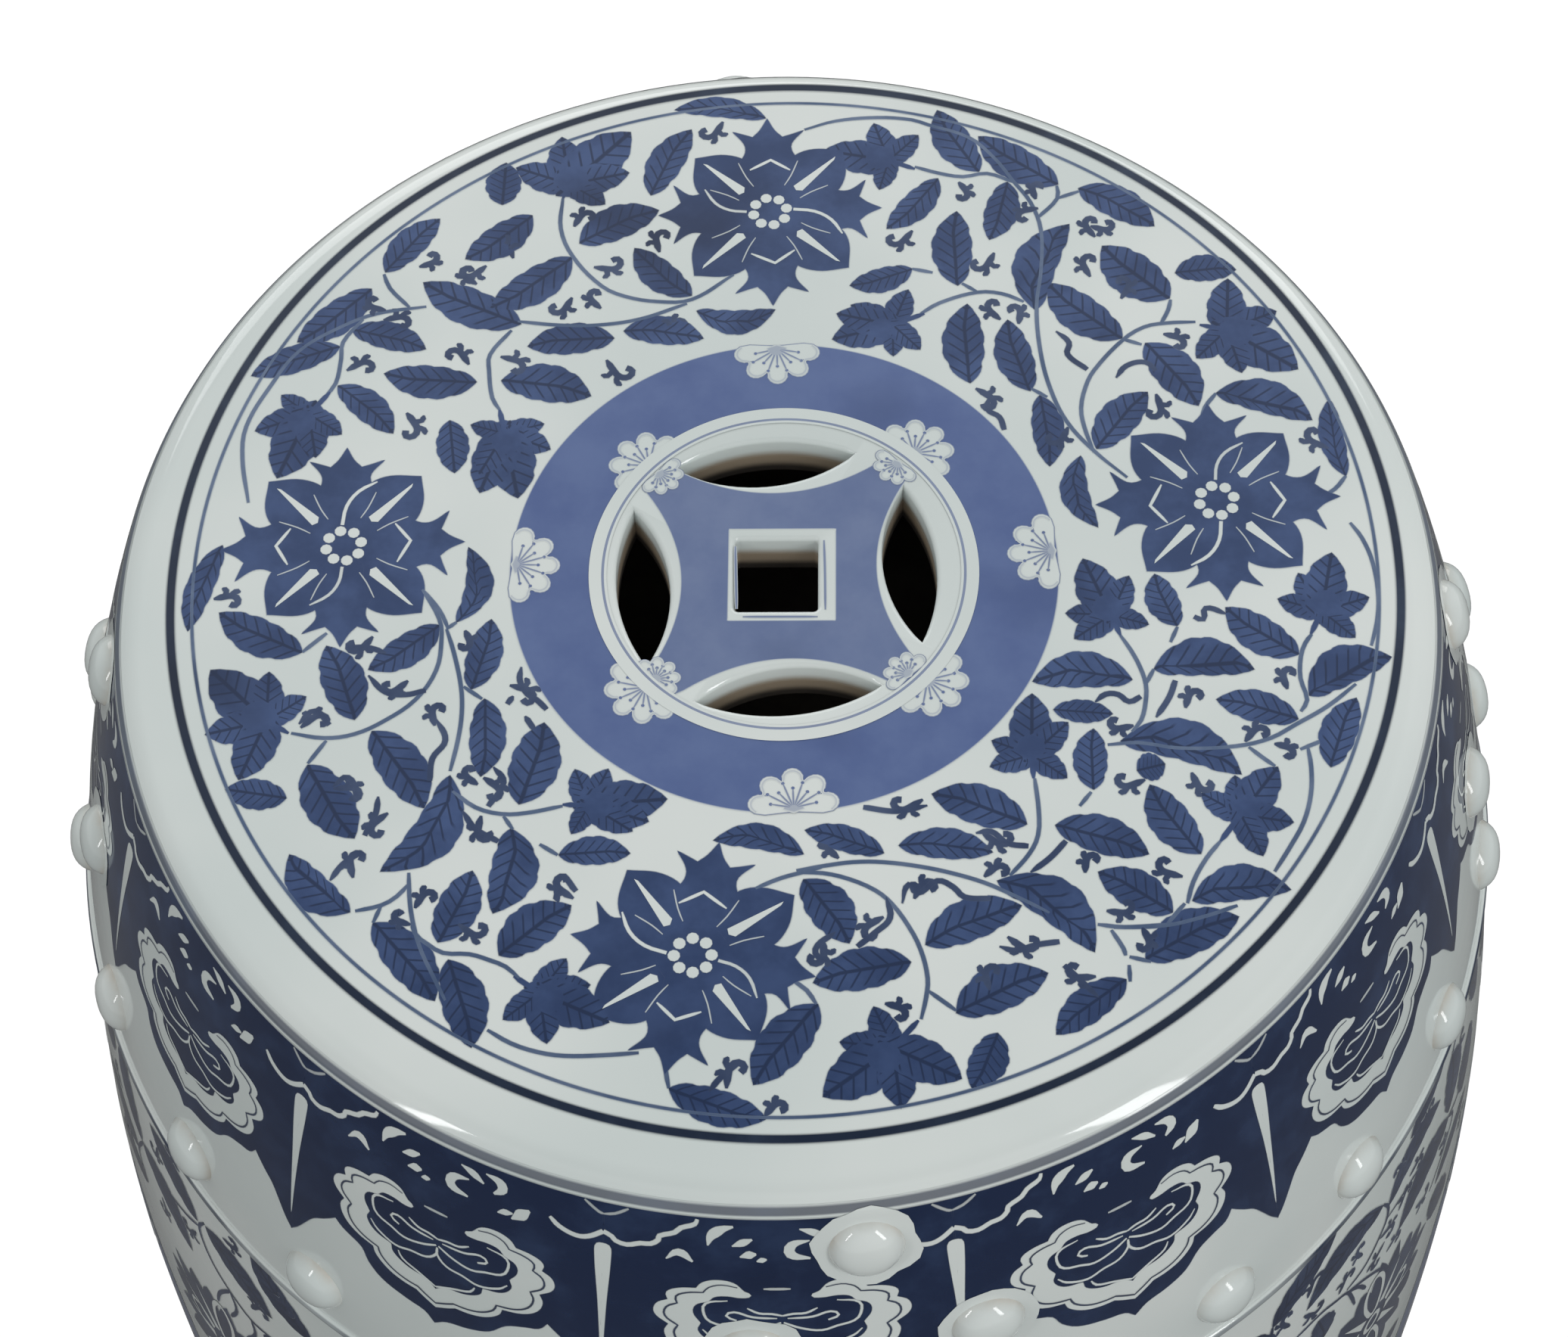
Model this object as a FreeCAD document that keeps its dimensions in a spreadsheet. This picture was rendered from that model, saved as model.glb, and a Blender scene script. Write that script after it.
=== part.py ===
import FreeCAD, Part
import Sketcher
import os

# Ceramic garden stool: a hollow drum, thrown in courses that are luted together,
# with a pierced seat, pierced sides and rows of applied bosses.
# Millimetres, +Z up, origin at the centre of the base.

Vector = FreeCAD.Vector
Rotation = FreeCAD.Rotation
Placement = FreeCAD.Placement

document = FreeCAD.newDocument("GardenStool")

SIZES = (
    # the drum, whose upper and lower halves are alike
    ("overall_height", 470.0),
    ("belly_radius", 165.0),
    ("seam_inset", 11.0),
    ("seam_depth", 88.0),
    ("rim_inset", 30.7),
    ("edge_round", 7.25),
    ("wall_thickness", 11.0),
    ("seat_thickness", 11.0),
    ("foot_height", 12.0),
    ("foot_width", 30.3),
    # the coin pierced through the seat
    ("seat_coin_shift_x", 0.2),
    ("seat_coin_shift_y", 3.0),
    ("seat_coin_turn", 3.0),
    ("seat_lens_reach", 27.6),
    ("seat_lens_half_length", 18.4),
    ("seat_lens_outer_rise", 4.8),
    ("seat_lens_inner_rise", 6.0),
    ("seat_square_side", 16.8),
    ("seat_square_turn", -2.5),
    # the larger coins pierced through the left and right sides
    ("side_lens_reach", 60.0),
    ("side_lens_half_length", 40.0),
    ("side_lens_outer_rise", 12.0),
    ("side_lens_inner_rise", 13.0),
    ("side_square_side", 36.0),
    # the bosses, placed by their depth from the nearer end of the drum
    ("boss_radius", 8.0),
    ("boss_height", 4.0),
    ("ring_depth", 75.0),
    ("ring_first_angle", 4.0),
    ("ring_count", 24),
    ("trio_tip_depth", 14.0),
    ("trio_base_depth", 44.0),
    ("trio_half_spread", 9.0),
    ("trio_right_angle", -2.0),
    ("trio_back_angle", 92.0),
    ("trio_left_angle", 182.0),
    ("trio_front_angle", 275.0),
    # how far a cutting shape runs past the clay that it cuts
    ("cutter_overrun", 5.0),
)

FULL_TURN = 360.0
QUARTER_TURN = FULL_TURN / 4
SIDES = ("right", "back", "left", "front")
LENS_COUNT = 4
SQUARE_CORNERS = 4
HALF_HEIGHT = "Sizes.overall_height / 2"
SEAM_RADIUS = "Sizes.belly_radius - Sizes.seam_inset"
RIM_RADIUS = "Sizes.belly_radius - Sizes.rim_inset"
ORIGIN_POINT = (-1, 1)
SKETCH_AXES = {"horizontal": -1, "vertical": -2}
START, END, CENTRE = range(1, 4)

sheet = document.addObject("Spreadsheet::Sheet", "Sizes")
for row, (alias, value) in enumerate(SIZES, start=1):
    sheet.set(f"A{row}", alias)
    sheet.set(f"B{row}", str(value))
    sheet.setAlias(f"B{row}", alias)
document.recompute()


def size(alias):
    return float(sheet.get(alias))


def origin_feature(body, role):
    return next(f for f in body.Origin.OriginFeatures if f.Role == role)


# The drum's outer and inner forms.
# A half profile is turned about the axis and mirrored at mid height. The belly arc and
# the shoulder arc meet smoothly at the seam, and a small round carries the shoulder into
# the flat end. The inner form is the same profile, drawn in by the wall's thickness.
def drum_form(label, drawn_in, drawn_in_expression):
    body = document.addObject("PartDesign::Body", label)
    profile = body.newObject("Sketcher::SketchObject", label + "_profile")
    profile.AttachmentSupport = (origin_feature(body, "XZ_Plane"), "")
    profile.MapMode = "FlatFace"

    # first positions, which the constraints below then make exact
    half = size("overall_height") / 2
    edge = size("edge_round")
    belly = Vector(size("belly_radius") - drawn_in, 0, 0)
    seam = Vector(belly.x - size("seam_inset"), half - size("seam_depth"), 0)
    rim = Vector(belly.x - size("rim_inset"), half - edge / 2, 0)
    flat = Vector(rim.x - edge, half, 0)
    outward = Vector((belly.x - seam.x) / 4, 0, 0)
    edge_middle = (rim + flat) / 2 + Vector(edge / 4, edge / 4, 0)
    profile.addGeometry(
        [
            Part.LineSegment(Vector(0, 0, 0), belly),
            Part.Arc(belly, (belly + seam) / 2 + outward, seam),
            Part.Arc(seam, (seam + rim) / 2 + outward, rim),
            Part.Arc(rim, edge_middle, flat),
            Part.LineSegment(flat, Vector(0, half, 0)),
            Part.LineSegment(Vector(0, half, 0), Vector(0, 0, 0)),
        ],
        False,
    )
    base_line, belly_arc, shoulder_arc, edge_arc, end_line, axis_line = range(6)

    def hold(name, expression, *constraint):
        index = profile.addConstraint(Sketcher.Constraint(*constraint))
        profile.renameConstraint(index, name)
        profile.setExpression("Constraints." + name, expression)

    for constraint in (
        ("Coincident", base_line, START, *ORIGIN_POINT),
        ("Horizontal", base_line),
        ("Coincident", base_line, END, belly_arc, START),
        ("PointOnObject", belly_arc, CENTRE, SKETCH_AXES["horizontal"]),
        ("Tangent", belly_arc, END, shoulder_arc, START),
        ("Tangent", shoulder_arc, END, edge_arc, START),
        ("Tangent", edge_arc, END, end_line, START),
        ("Horizontal", end_line),
        ("PointOnObject", end_line, END, SKETCH_AXES["vertical"]),
        ("Coincident", end_line, END, axis_line, START),
        ("Coincident", axis_line, END, base_line, START),
    ):
        profile.addConstraint(Sketcher.Constraint(*constraint))

    hold("belly", "Sizes.belly_radius" + drawn_in_expression,
         "DistanceX", *ORIGIN_POINT, belly_arc, START, belly.x)
    hold("seam", SEAM_RADIUS + drawn_in_expression,
         "DistanceX", *ORIGIN_POINT, belly_arc, END, seam.x)
    hold("seam_height", HALF_HEIGHT + " - Sizes.seam_depth",
         "DistanceY", *ORIGIN_POINT, belly_arc, END, seam.y)
    hold("rim", RIM_RADIUS + drawn_in_expression,
         "DistanceX", *ORIGIN_POINT, shoulder_arc, END, rim.x)
    hold("half_height", HALF_HEIGHT,
         "DistanceY", *ORIGIN_POINT, end_line, START, half)
    hold("edge", "Sizes.edge_round", "Radius", edge_arc, edge)

    turned = body.newObject("PartDesign::Revolution", label + "_turned")
    turned.Profile = profile
    turned.ReferenceAxis = (profile, ["V_Axis"])
    turned.Angle = FULL_TURN
    mirrored = body.newObject("PartDesign::Mirrored", label + "_mirrored")
    mirrored.Originals = [turned]
    mirrored.MirrorPlane = (origin_feature(body, "XY_Plane"), [""])
    body.Tip = mirrored
    body.setExpression("Placement.Base.z", HALF_HEIGHT)
    return body


outer_form = drum_form("outer_form", 0, "")
inner_form = drum_form("inner_form", size("wall_thickness"), " - Sizes.wall_thickness")

drum_wall = document.addObject("Part::Cut", "drum_wall")
drum_wall.Base = outer_form
drum_wall.Tool = inner_form


# The cutting shape for one pierced coin: four lens-shaped openings round a square hole.
# Each lens is where two cylinders cross, and the coin lies at the origin, facing +Z,
# until the compound is placed.
def coin_cutter(label, length_expression):
    def rod(name, radius_expression, centre_expression):
        cylinder = document.addObject("Part::Cylinder", f"{label}_{name}")
        cylinder.setExpression("Radius", radius_expression)
        cylinder.setExpression("Height", length_expression)
        cylinder.setExpression("Placement.Base.y", f"{centre_expression}")
        return cylinder

    reach = f"Sizes.{label}_lens_reach"
    half_length = f"Sizes.{label}_lens_half_length"
    outer_rise = f"Sizes.{label}_lens_outer_rise"
    inner_rise = f"Sizes.{label}_lens_inner_rise"
    outer_radius = f"({half_length} ^ 2 + {outer_rise} ^ 2) / (2 * {outer_rise})"
    inner_radius = f"({half_length} ^ 2 + {inner_rise} ^ 2) / (2 * {inner_rise})"
    outer_rod = rod("outer_rod", outer_radius, f"{reach} + {outer_rise} - {outer_radius}")
    inner_rod = rod("inner_rod", inner_radius, f"{reach} - {inner_rise} + {inner_radius}")

    openings = []
    for index in range(LENS_COUNT):
        lens = document.addObject("Part::Common", f"{label}_lens_{index + 1}")
        lens.Base = outer_rod
        lens.Tool = inner_rod
        lens.Placement = Placement(Vector(), Rotation(Vector(0, 0, 1), index * FULL_TURN / LENS_COUNT))
        openings.append(lens)

    square = document.addObject("Part::Prism", f"{label}_square")
    square.Polygon = SQUARE_CORNERS
    square.setExpression("Circumradius", f"Sizes.{label}_square_side / sqrt(2)")
    square.setExpression("Height", length_expression)
    openings.append(square)

    cutter = document.addObject("Part::Compound", f"{label}_coin_cutter")
    cutter.Links = openings
    return cutter, square


# The seat's coin stands upright through the seat, a little off the drum's axis,
# and its square hole is twisted against its lenses, as the potter cut it.
seat_cutter, seat_square = coin_cutter("seat", "Sizes.seat_thickness + 2 * Sizes.cutter_overrun")
seat_square.setExpression(
    "Placement.Rotation.Angle", "45 + Sizes.seat_square_turn - Sizes.seat_coin_turn"
)
seat_cutter.setExpression("Placement.Base.x", "Sizes.seat_coin_shift_x")
seat_cutter.setExpression("Placement.Base.y", "Sizes.seat_coin_shift_y")
seat_cutter.setExpression(
    "Placement.Base.z", "Sizes.overall_height - Sizes.seat_thickness - Sizes.cutter_overrun"
)
seat_cutter.setExpression("Placement.Rotation.Angle", "Sizes.seat_coin_turn")

# One long cutter pierces the left and right sides together, at mid height.
side_cutter, side_square = coin_cutter("side", "2 * (Sizes.belly_radius + Sizes.cutter_overrun)")
side_square.setExpression("Placement.Rotation.Angle", "45")
side_cutter.Placement = Placement(Vector(), Rotation(Vector(0, 1, 0), QUARTER_TURN))
side_cutter.setExpression("Placement.Base.x", "-Sizes.belly_radius - Sizes.cutter_overrun")
side_cutter.setExpression("Placement.Base.z", HALF_HEIGHT)


# The courses of the drum, cut level from one form, so that their curves run on.
# A whole course is a ring of clay; a course in quarters is one ring in four equal lengths.
def level_band(label, bottom_expression, top_expression):
    band = document.addObject("Part::Cylinder", label + "_band")
    band.setExpression("Radius", "Sizes.belly_radius + Sizes.cutter_overrun")
    band.setExpression("Height", f"({top_expression}) - ({bottom_expression})")
    band.setExpression("Placement.Base.z", bottom_expression)
    return band


def cut_out(label, clay, band, cutter=None):
    piece = document.addObject("Part::Common", label)
    piece.Base = clay
    piece.Tool = band
    if cutter is None:
        return piece
    piece.Label = label + "_unpierced"
    pierced = document.addObject("Part::Cut", label + "_pierced")
    pierced.Label = label
    pierced.Base = piece
    pierced.Tool = cutter
    return pierced


def whole_course(label, bottom_expression, top_expression, cutter):
    return cut_out(label, outer_form, level_band(label, bottom_expression, top_expression), cutter)


def quartered_course(label, bottom_expression, top_expression, side_coins=None):
    quarters = []
    for index, side in enumerate(SIDES):
        name = f"{label}_{side}"
        band = level_band(name, bottom_expression, top_expression)
        band.Angle = QUARTER_TURN
        first_edge = (index - 0.5) * QUARTER_TURN
        band.Placement.Rotation = Rotation(Vector(0, 0, 1), first_edge)
        cutter = side_coins if side in ("right", "left") else None
        quarters.append(cut_out(name, drum_wall, band, cutter))
    return quarters


foot_bore = document.addObject("Part::Cylinder", "foot_bore")
foot_bore.setExpression("Radius", RIM_RADIUS + " - Sizes.foot_width")
foot_bore.setExpression("Height", "Sizes.foot_height + 2 * Sizes.cutter_overrun")
foot_bore.setExpression("Placement.Base.z", "-Sizes.cutter_overrun")

UPPER_SEAM = "Sizes.overall_height - Sizes.seam_depth"
SEAT_UNDERSIDE = "Sizes.overall_height - Sizes.seat_thickness"

pieces = [whole_course("foot_ring", "-Sizes.cutter_overrun", "Sizes.foot_height", foot_bore)]
pieces += quartered_course("lower_shoulder", "Sizes.foot_height", "Sizes.seam_depth")
pieces += quartered_course("lower_barrel", "Sizes.seam_depth", HALF_HEIGHT, side_cutter)
pieces += quartered_course("upper_barrel", HALF_HEIGHT, UPPER_SEAM, side_cutter)
pieces += quartered_course("upper_shoulder", UPPER_SEAM, SEAT_UNDERSIDE)
pieces.append(
    whole_course("seat", SEAT_UNDERSIDE, "Sizes.overall_height + Sizes.cutter_overrun", seat_cutter)
)
document.recompute()


# The bosses: buttons of clay, each a cap of a ball whose back is hollowed to sit on the drum.
def boss(height):
    reach = size("belly_radius") + size("cutter_overrun")
    ray = Part.makeLine(Vector(0, 0, height), Vector(reach, 0, height))
    seat_point = max((v.Point for v in ray.common(outer_form.Shape).Vertexes), key=lambda p: p.x)
    nearest = min(outer_form.Shape.Faces, key=lambda f: f.distToShape(Part.Vertex(seat_point))[0])
    outward = nearest.normalAt(*nearest.Surface.parameter(seat_point))
    rise = size("boss_height")
    ball_radius = (size("boss_radius") ** 2 + rise ** 2) / (2 * rise)
    centre = seat_point - outward * (ball_radius - rise)
    return Part.makeSphere(ball_radius, centre).cut(outer_form.Shape)


def boss_group(label, places):
    caps = {height: boss(height) for height, angle in places}
    group = document.addObject("Part::Feature", label)
    group.Shape = Part.makeCompound(
        [caps[height].rotated(Vector(), Vector(0, 0, 1), angle) for height, angle in places]
    )
    group.Placement = Placement()
    return group


ring_count = int(size("ring_count"))
ring_angles = [size("ring_first_angle") + i * FULL_TURN / ring_count for i in range(ring_count)]
spread = size("trio_half_spread")
trio_angles = [size(f"trio_{side}_angle") for side in SIDES]

for end in ("lower", "upper"):
    def height_at(alias):
        depth = size(alias)
        return depth if end == "lower" else size("overall_height") - depth

    ring = [(height_at("ring_depth"), angle) for angle in ring_angles]
    trios = []
    for angle in trio_angles:
        trios.append((height_at("trio_tip_depth"), angle))
        trios.append((height_at("trio_base_depth"), angle - spread))
        trios.append((height_at("trio_base_depth"), angle + spread))
    pieces.append(boss_group(end + "_ring_bosses", ring))
    pieces.append(boss_group(end + "_trio_bosses", trios))
document.recompute()

for item in document.Objects:
    if "Invalid" in item.State or "Error" in item.State:
        raise RuntimeError(f"{item.Label} failed: {item.State}")
for piece in pieces:
    if piece.Shape.isNull() or not piece.Shape.isValid() or not piece.Shape.Solids:
        raise RuntimeError(f"{piece.Label} has no valid solid")

os.makedirs("parts", exist_ok=True)
for piece in pieces:
    piece.Shape.exportStep(f"parts/{piece.Label}.step")
    print(f"{piece.Label}: {len(piece.Shape.Solids)} solids, {piece.Shape.Volume / 1000:.1f} cm3")
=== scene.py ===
from math import asin, atan2, ceil, copysign, cos, degrees, floor, hypot, pi, radians, sin, sqrt, tau

import bmesh
import bpy
from mathutils import Matrix, Vector
from mathutils.geometry import interpolate_bezier
from mathutils.noise import noise as smooth_noise


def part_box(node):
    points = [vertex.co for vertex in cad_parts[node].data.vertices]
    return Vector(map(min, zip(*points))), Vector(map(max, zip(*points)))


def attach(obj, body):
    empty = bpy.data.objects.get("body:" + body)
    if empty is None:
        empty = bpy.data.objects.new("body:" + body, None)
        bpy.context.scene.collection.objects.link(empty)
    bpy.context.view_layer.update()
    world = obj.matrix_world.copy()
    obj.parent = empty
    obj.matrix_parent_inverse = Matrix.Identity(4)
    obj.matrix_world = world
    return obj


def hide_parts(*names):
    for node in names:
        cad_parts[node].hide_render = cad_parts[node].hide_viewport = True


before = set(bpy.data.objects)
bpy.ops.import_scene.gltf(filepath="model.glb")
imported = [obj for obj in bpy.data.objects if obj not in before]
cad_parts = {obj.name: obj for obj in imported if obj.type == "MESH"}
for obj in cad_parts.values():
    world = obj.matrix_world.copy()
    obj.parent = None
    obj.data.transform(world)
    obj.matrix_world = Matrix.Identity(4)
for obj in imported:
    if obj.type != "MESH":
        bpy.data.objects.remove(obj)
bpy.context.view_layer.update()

MM = 0.001

# Camera, room and lamps
# A long lens from the front, well above the seat and rolled a little. The room has pale walls and a
# dark ceiling, and is lit by a wide panel behind the stool and a narrow strip at each front corner.
CAMERA_PLACE = Vector((0.00096, -0.3955, 1.1166))
CAMERA_TILT_DOWN = radians(59.8)
CAMERA_ROLL = radians(-2.371)
LENS = 86.46
SENSOR_WIDTH = 36.0
camera_data = bpy.data.cameras.new("camera")
camera_data.lens = LENS
camera_data.sensor_width = SENSOR_WIDTH
camera_data.sensor_fit = "HORIZONTAL"
camera = bpy.data.objects.new("camera", camera_data)
bpy.context.scene.collection.objects.link(camera)
look = Vector((0, cos(CAMERA_TILT_DOWN), -sin(CAMERA_TILT_DOWN)))
level = Vector((1, 0, 0))
rise = level.cross(look)
camera_right = level * cos(CAMERA_ROLL) + rise * sin(CAMERA_ROLL)
camera_up = rise * cos(CAMERA_ROLL) - level * sin(CAMERA_ROLL)
turn = Matrix((camera_right, camera_up, -look)).transposed()
camera.matrix_world = Matrix.Translation(CAMERA_PLACE) @ turn.to_4x4()
bpy.context.scene.camera = camera
bpy.context.scene.view_settings.view_transform = "Standard"

room = bpy.data.worlds.new("room")
room.use_nodes = True
bpy.context.scene.world = room
room_nodes, room_links = room.node_tree.nodes, room.node_tree.links
backdrop = room_nodes["Background"]
# grey by the sine of the height over the horizon: walls that brighten upwards, then the dark ceiling
ROOM_TONES = ((0.0, 0.62), (0.70, 0.60), (0.80, 0.70), (0.87, 0.45), (0.93, 0.12), (1.0, 0.12))
ROOM_LIGHT = 1.15
WHITE = (1.0, 1.0, 1.0, 1.0)
direction = room_nodes.new("ShaderNodeTexCoord")
split = room_nodes.new("ShaderNodeSeparateXYZ")
room_links.new(direction.outputs["Generated"], split.inputs["Vector"])
tones = room_nodes.new("ShaderNodeValToRGB")
for number, (rise_sine, tone) in enumerate(ROOM_TONES):
    stops = tones.color_ramp.elements
    stop = stops[number] if number < 2 else stops.new(rise_sine)
    stop.position = rise_sine
    stop.color = (tone, tone, tone, 1.0)
room_links.new(split.outputs["Z"], tones.inputs["Fac"])
# the camera sees white paper behind the stool
ray = room_nodes.new("ShaderNodeLightPath")
seen = room_nodes.new("ShaderNodeMix")
seen.data_type = "RGBA"
seen.inputs[7].default_value = WHITE
room_links.new(ray.outputs["Is Camera Ray"], seen.inputs["Factor"])
room_links.new(tones.outputs["Color"], seen.inputs[6])
room_links.new(seen.outputs[2], backdrop.inputs["Color"])
backdrop.inputs["Strength"].default_value = ROOM_LIGHT


# name, place, height of the point on the axis that it faces, width, length, watts
LAMPS = (
    ("panel_behind", (0.0, 1.55, 1.20), 0.45, 2.4, 0.9, 16.0),
    ("strip_left", (-1.29, -1.06, 1.5), 0.42, 0.14, 0.9, 4.5),
    ("strip_right", (1.16, -1.10, 1.45), 0.42, 0.30, 1.2, 11.0),
)
for name, place, aim_height, width, length, power in LAMPS:
    light = bpy.data.lights.new(name, "AREA")
    light.shape = "RECTANGLE"
    light.size = width
    light.size_y = length
    light.energy = power
    holder = bpy.data.objects.new(name, light)
    bpy.context.scene.collection.objects.link(holder)
    holder.location = place
    aim = Vector((0.0, 0.0, aim_height)) - Vector(place)
    holder.rotation_euler = aim.to_track_quat("-Z", "Y").to_euler()


def deselect():
    bpy.ops.object.select_all(action="DESELECT")


# the paper under the stool: grey to the light and nearly white to the camera
FLOOR_SIZE = 6.0
FLOOR_GREY = (0.14, 0.14, 0.14, 1.0)
FLOOR_GLOW = 0.93
deselect()
bpy.ops.mesh.primitive_plane_add(size=FLOOR_SIZE)
paper_floor = bpy.context.active_object
paper_floor.name = "floor"
bpy.ops.object.mode_set(mode="EDIT")
bpy.ops.mesh.subdivide(number_cuts=7)
bpy.ops.object.mode_set(mode="OBJECT")
paper = bpy.data.materials.new("floor_paper")
paper.use_nodes = True
paper_nodes, paper_links = paper.node_tree.nodes, paper.node_tree.links
sheen = paper_nodes["Principled BSDF"]
sheen.inputs["Base Color"].default_value = FLOOR_GREY
sheen.inputs["Roughness"].default_value = 0.9
sheen.inputs["Emission Color"].default_value = WHITE
paper_ray = paper_nodes.new("ShaderNodeLightPath")
brighter = paper_nodes.new("ShaderNodeMath")
brighter.operation = "MULTIPLY"
brighter.inputs[1].default_value = FLOOR_GLOW
paper_links.new(paper_ray.outputs["Is Camera Ray"], brighter.inputs[0])
paper_links.new(brighter.outputs["Value"], sheen.inputs["Emission Strength"])
paper_floor.data.materials.append(paper)

# The drum's form
# The stool is turned: a long belly arc, a tighter shoulder arc that leaves it smoothly at the seam,
# and a small round at each end. The glaze lies a hair inside the clay's sizes, under the painting.
GLAZE_INSET = 0.2 * MM
FULL_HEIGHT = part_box("seat")[1][2]
height = FULL_HEIGHT - GLAZE_INSET
middle = height / 2
BELLY_RADIUS = 165.0 * MM - GLAZE_INSET
SEAM_RADIUS = 154.0 * MM - GLAZE_INSET
RIM_RADIUS = 134.3 * MM - GLAZE_INSET
EDGE_ROUND = 7.25 * MM
SEAM_DEPTH = 88.0 * MM
seam_rise = middle - SEAM_DEPTH
belly_sagitta = BELLY_RADIUS - SEAM_RADIUS
belly_centre = (BELLY_RADIUS ** 2 - SEAM_RADIUS ** 2 - seam_rise ** 2) / (2 * belly_sagitta)
belly_bend = BELLY_RADIUS - belly_centre
seam_lean = asin(seam_rise / belly_bend)
edge_rise = middle - EDGE_ROUND


def shoulder_from(bend):
    """Centre of a shoulder arc of that bend, radius of the flat seat and radius of the rim."""
    centre_x = SEAM_RADIUS - bend * cos(seam_lean)
    centre_rise = seam_rise - bend * sin(seam_lean)
    reach = bend - EDGE_ROUND
    across = sqrt(max(reach ** 2 - (edge_rise - centre_rise) ** 2, 0.0))
    return centre_x, centre_rise, centre_x + across, centre_x + across * bend / reach


# the bend that meets the rim is found by halving
HALVINGS = 60
tight, open_bend = 0.10, 2.0
for _ in range(HALVINGS):
    shoulder_bend = (tight + open_bend) / 2
    if shoulder_from(shoulder_bend)[3] < RIM_RADIUS:
        tight = shoulder_bend
    else:
        open_bend = shoulder_bend
shoulder_x, shoulder_rise, flat_radius, _ = shoulder_from(shoulder_bend)
rim_lean = atan2(edge_rise - shoulder_rise, flat_radius - shoulder_x)
rim_rise = shoulder_rise + shoulder_bend * sin(rim_lean)


def drum_at(z):
    """Radius of the glaze and its lean from level, at a height."""
    up = abs(z - middle)
    if up <= seam_rise:
        lean = asin(up / belly_bend)
        radius = belly_centre + belly_bend * cos(lean)
    elif up <= rim_rise:
        lean = asin((up - shoulder_rise) / shoulder_bend)
        radius = shoulder_x + shoulder_bend * cos(lean)
    else:
        lean = asin(min((up - edge_rise) / EDGE_ROUND, 1.0))
        radius = flat_radius + EDGE_ROUND * cos(lean)
    return radius, copysign(lean, z - middle)


def outward(angle, lean):
    return Vector((cos(angle) * cos(lean), sin(angle) * cos(lean), sin(lean)))


# The fired body
# Porcelain clay, glazed all over in one coat and fired once. The drum is turned with its seat as a
# hollow shell, then the coin in the seat and the coin in each side are cut and their lips wiped soft.
WALL = 11.0 * MM
FOOT_HEIGHT = 12 * MM
TURNING_STEPS = 288
CREASE = radians(40)
MERGE = 1e-6


def make_active(piece):
    deselect()
    piece.select_set(True)
    bpy.context.view_layer.objects.active = piece


def apply_modifiers(piece):
    make_active(piece)
    for modifier in list(piece.modifiers):
        bpy.ops.object.modifier_apply(modifier=modifier.name)


def turned(name, profile):
    """A closed section, given as (radius, height) points, spun round the drum's axis."""
    deselect()
    bpy.ops.mesh.primitive_circle_add(vertices=len(profile), radius=0.05, fill_type="NOTHING")
    piece = bpy.context.active_object
    piece.name = name
    piece.data.name = name
    for vertex, (radius, level_height) in zip(piece.data.vertices, profile):
        vertex.co = (radius, 0.0, level_height)
    bpy.ops.object.mode_set(mode="EDIT")
    bpy.ops.mesh.select_all(action="SELECT")
    bpy.ops.mesh.spin(steps=TURNING_STEPS, angle=tau, center=(0, 0, 0), axis=(0, 0, 1))
    bpy.ops.mesh.select_all(action="SELECT")
    bpy.ops.mesh.remove_doubles(threshold=MERGE)
    bpy.ops.mesh.normals_make_consistent(inside=False)
    bpy.ops.object.mode_set(mode="OBJECT")
    bpy.ops.object.shade_smooth_by_angle(angle=CREASE)
    return piece


def levels(low, high, spacing):
    count = max(1, ceil((high - low) / spacing))
    return [low + (high - low) * i / count for i in range(count + 1)]


OUTSIDE_SPACING = 4.5 * MM
INSIDE_SPACING = 9 * MM
EDGE_STEPS = 8
AXIS_GAP = 0.5 * MM
outside = [(drum_at(z)[0], z) for z in levels(FOOT_HEIGHT, middle + rim_rise, OUTSIDE_SPACING)]
for i in range(1, EDGE_STEPS + 1):
    lean = rim_lean + (pi / 2 - rim_lean) * i / EDGE_STEPS
    outside.append((flat_radius + EDGE_ROUND * cos(lean), middle + edge_rise + EDGE_ROUND * sin(lean)))
inside = []
for z in levels(FOOT_HEIGHT, height - WALL, INSIDE_SPACING):
    radius, lean = drum_at(z)
    inside.append((radius - WALL / max(cos(lean), 0.6), z))
profile = outside + [(r, height) for r in (0.118, 0.100, 0.078, 0.052, AXIS_GAP)]
profile += [(r, height - WALL) for r in (AXIS_GAP, 0.05, 0.09)] + inside[::-1]
body = turned("fired_body", profile)

# the seat is closed at the axis: the small ring round it is merged, above and below
make_active(body)
for level_height in (height, height - WALL):
    bpy.ops.object.mode_set(mode="EDIT")
    bpy.ops.mesh.select_mode(type="VERT")
    bpy.ops.mesh.select_all(action="DESELECT")
    bpy.ops.object.mode_set(mode="OBJECT")
    for vertex in body.data.vertices:
        x, y, z = vertex.co
        vertex.select = abs(z - level_height) < MERGE and hypot(x, y) < 2 * AXIS_GAP
    bpy.ops.object.mode_set(mode="EDIT")
    bpy.ops.mesh.merge(type="CENTER")
    bpy.ops.mesh.select_all(action="SELECT")
    bpy.ops.mesh.delete_loose(use_faces=False)
    bpy.ops.object.mode_set(mode="OBJECT")


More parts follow.
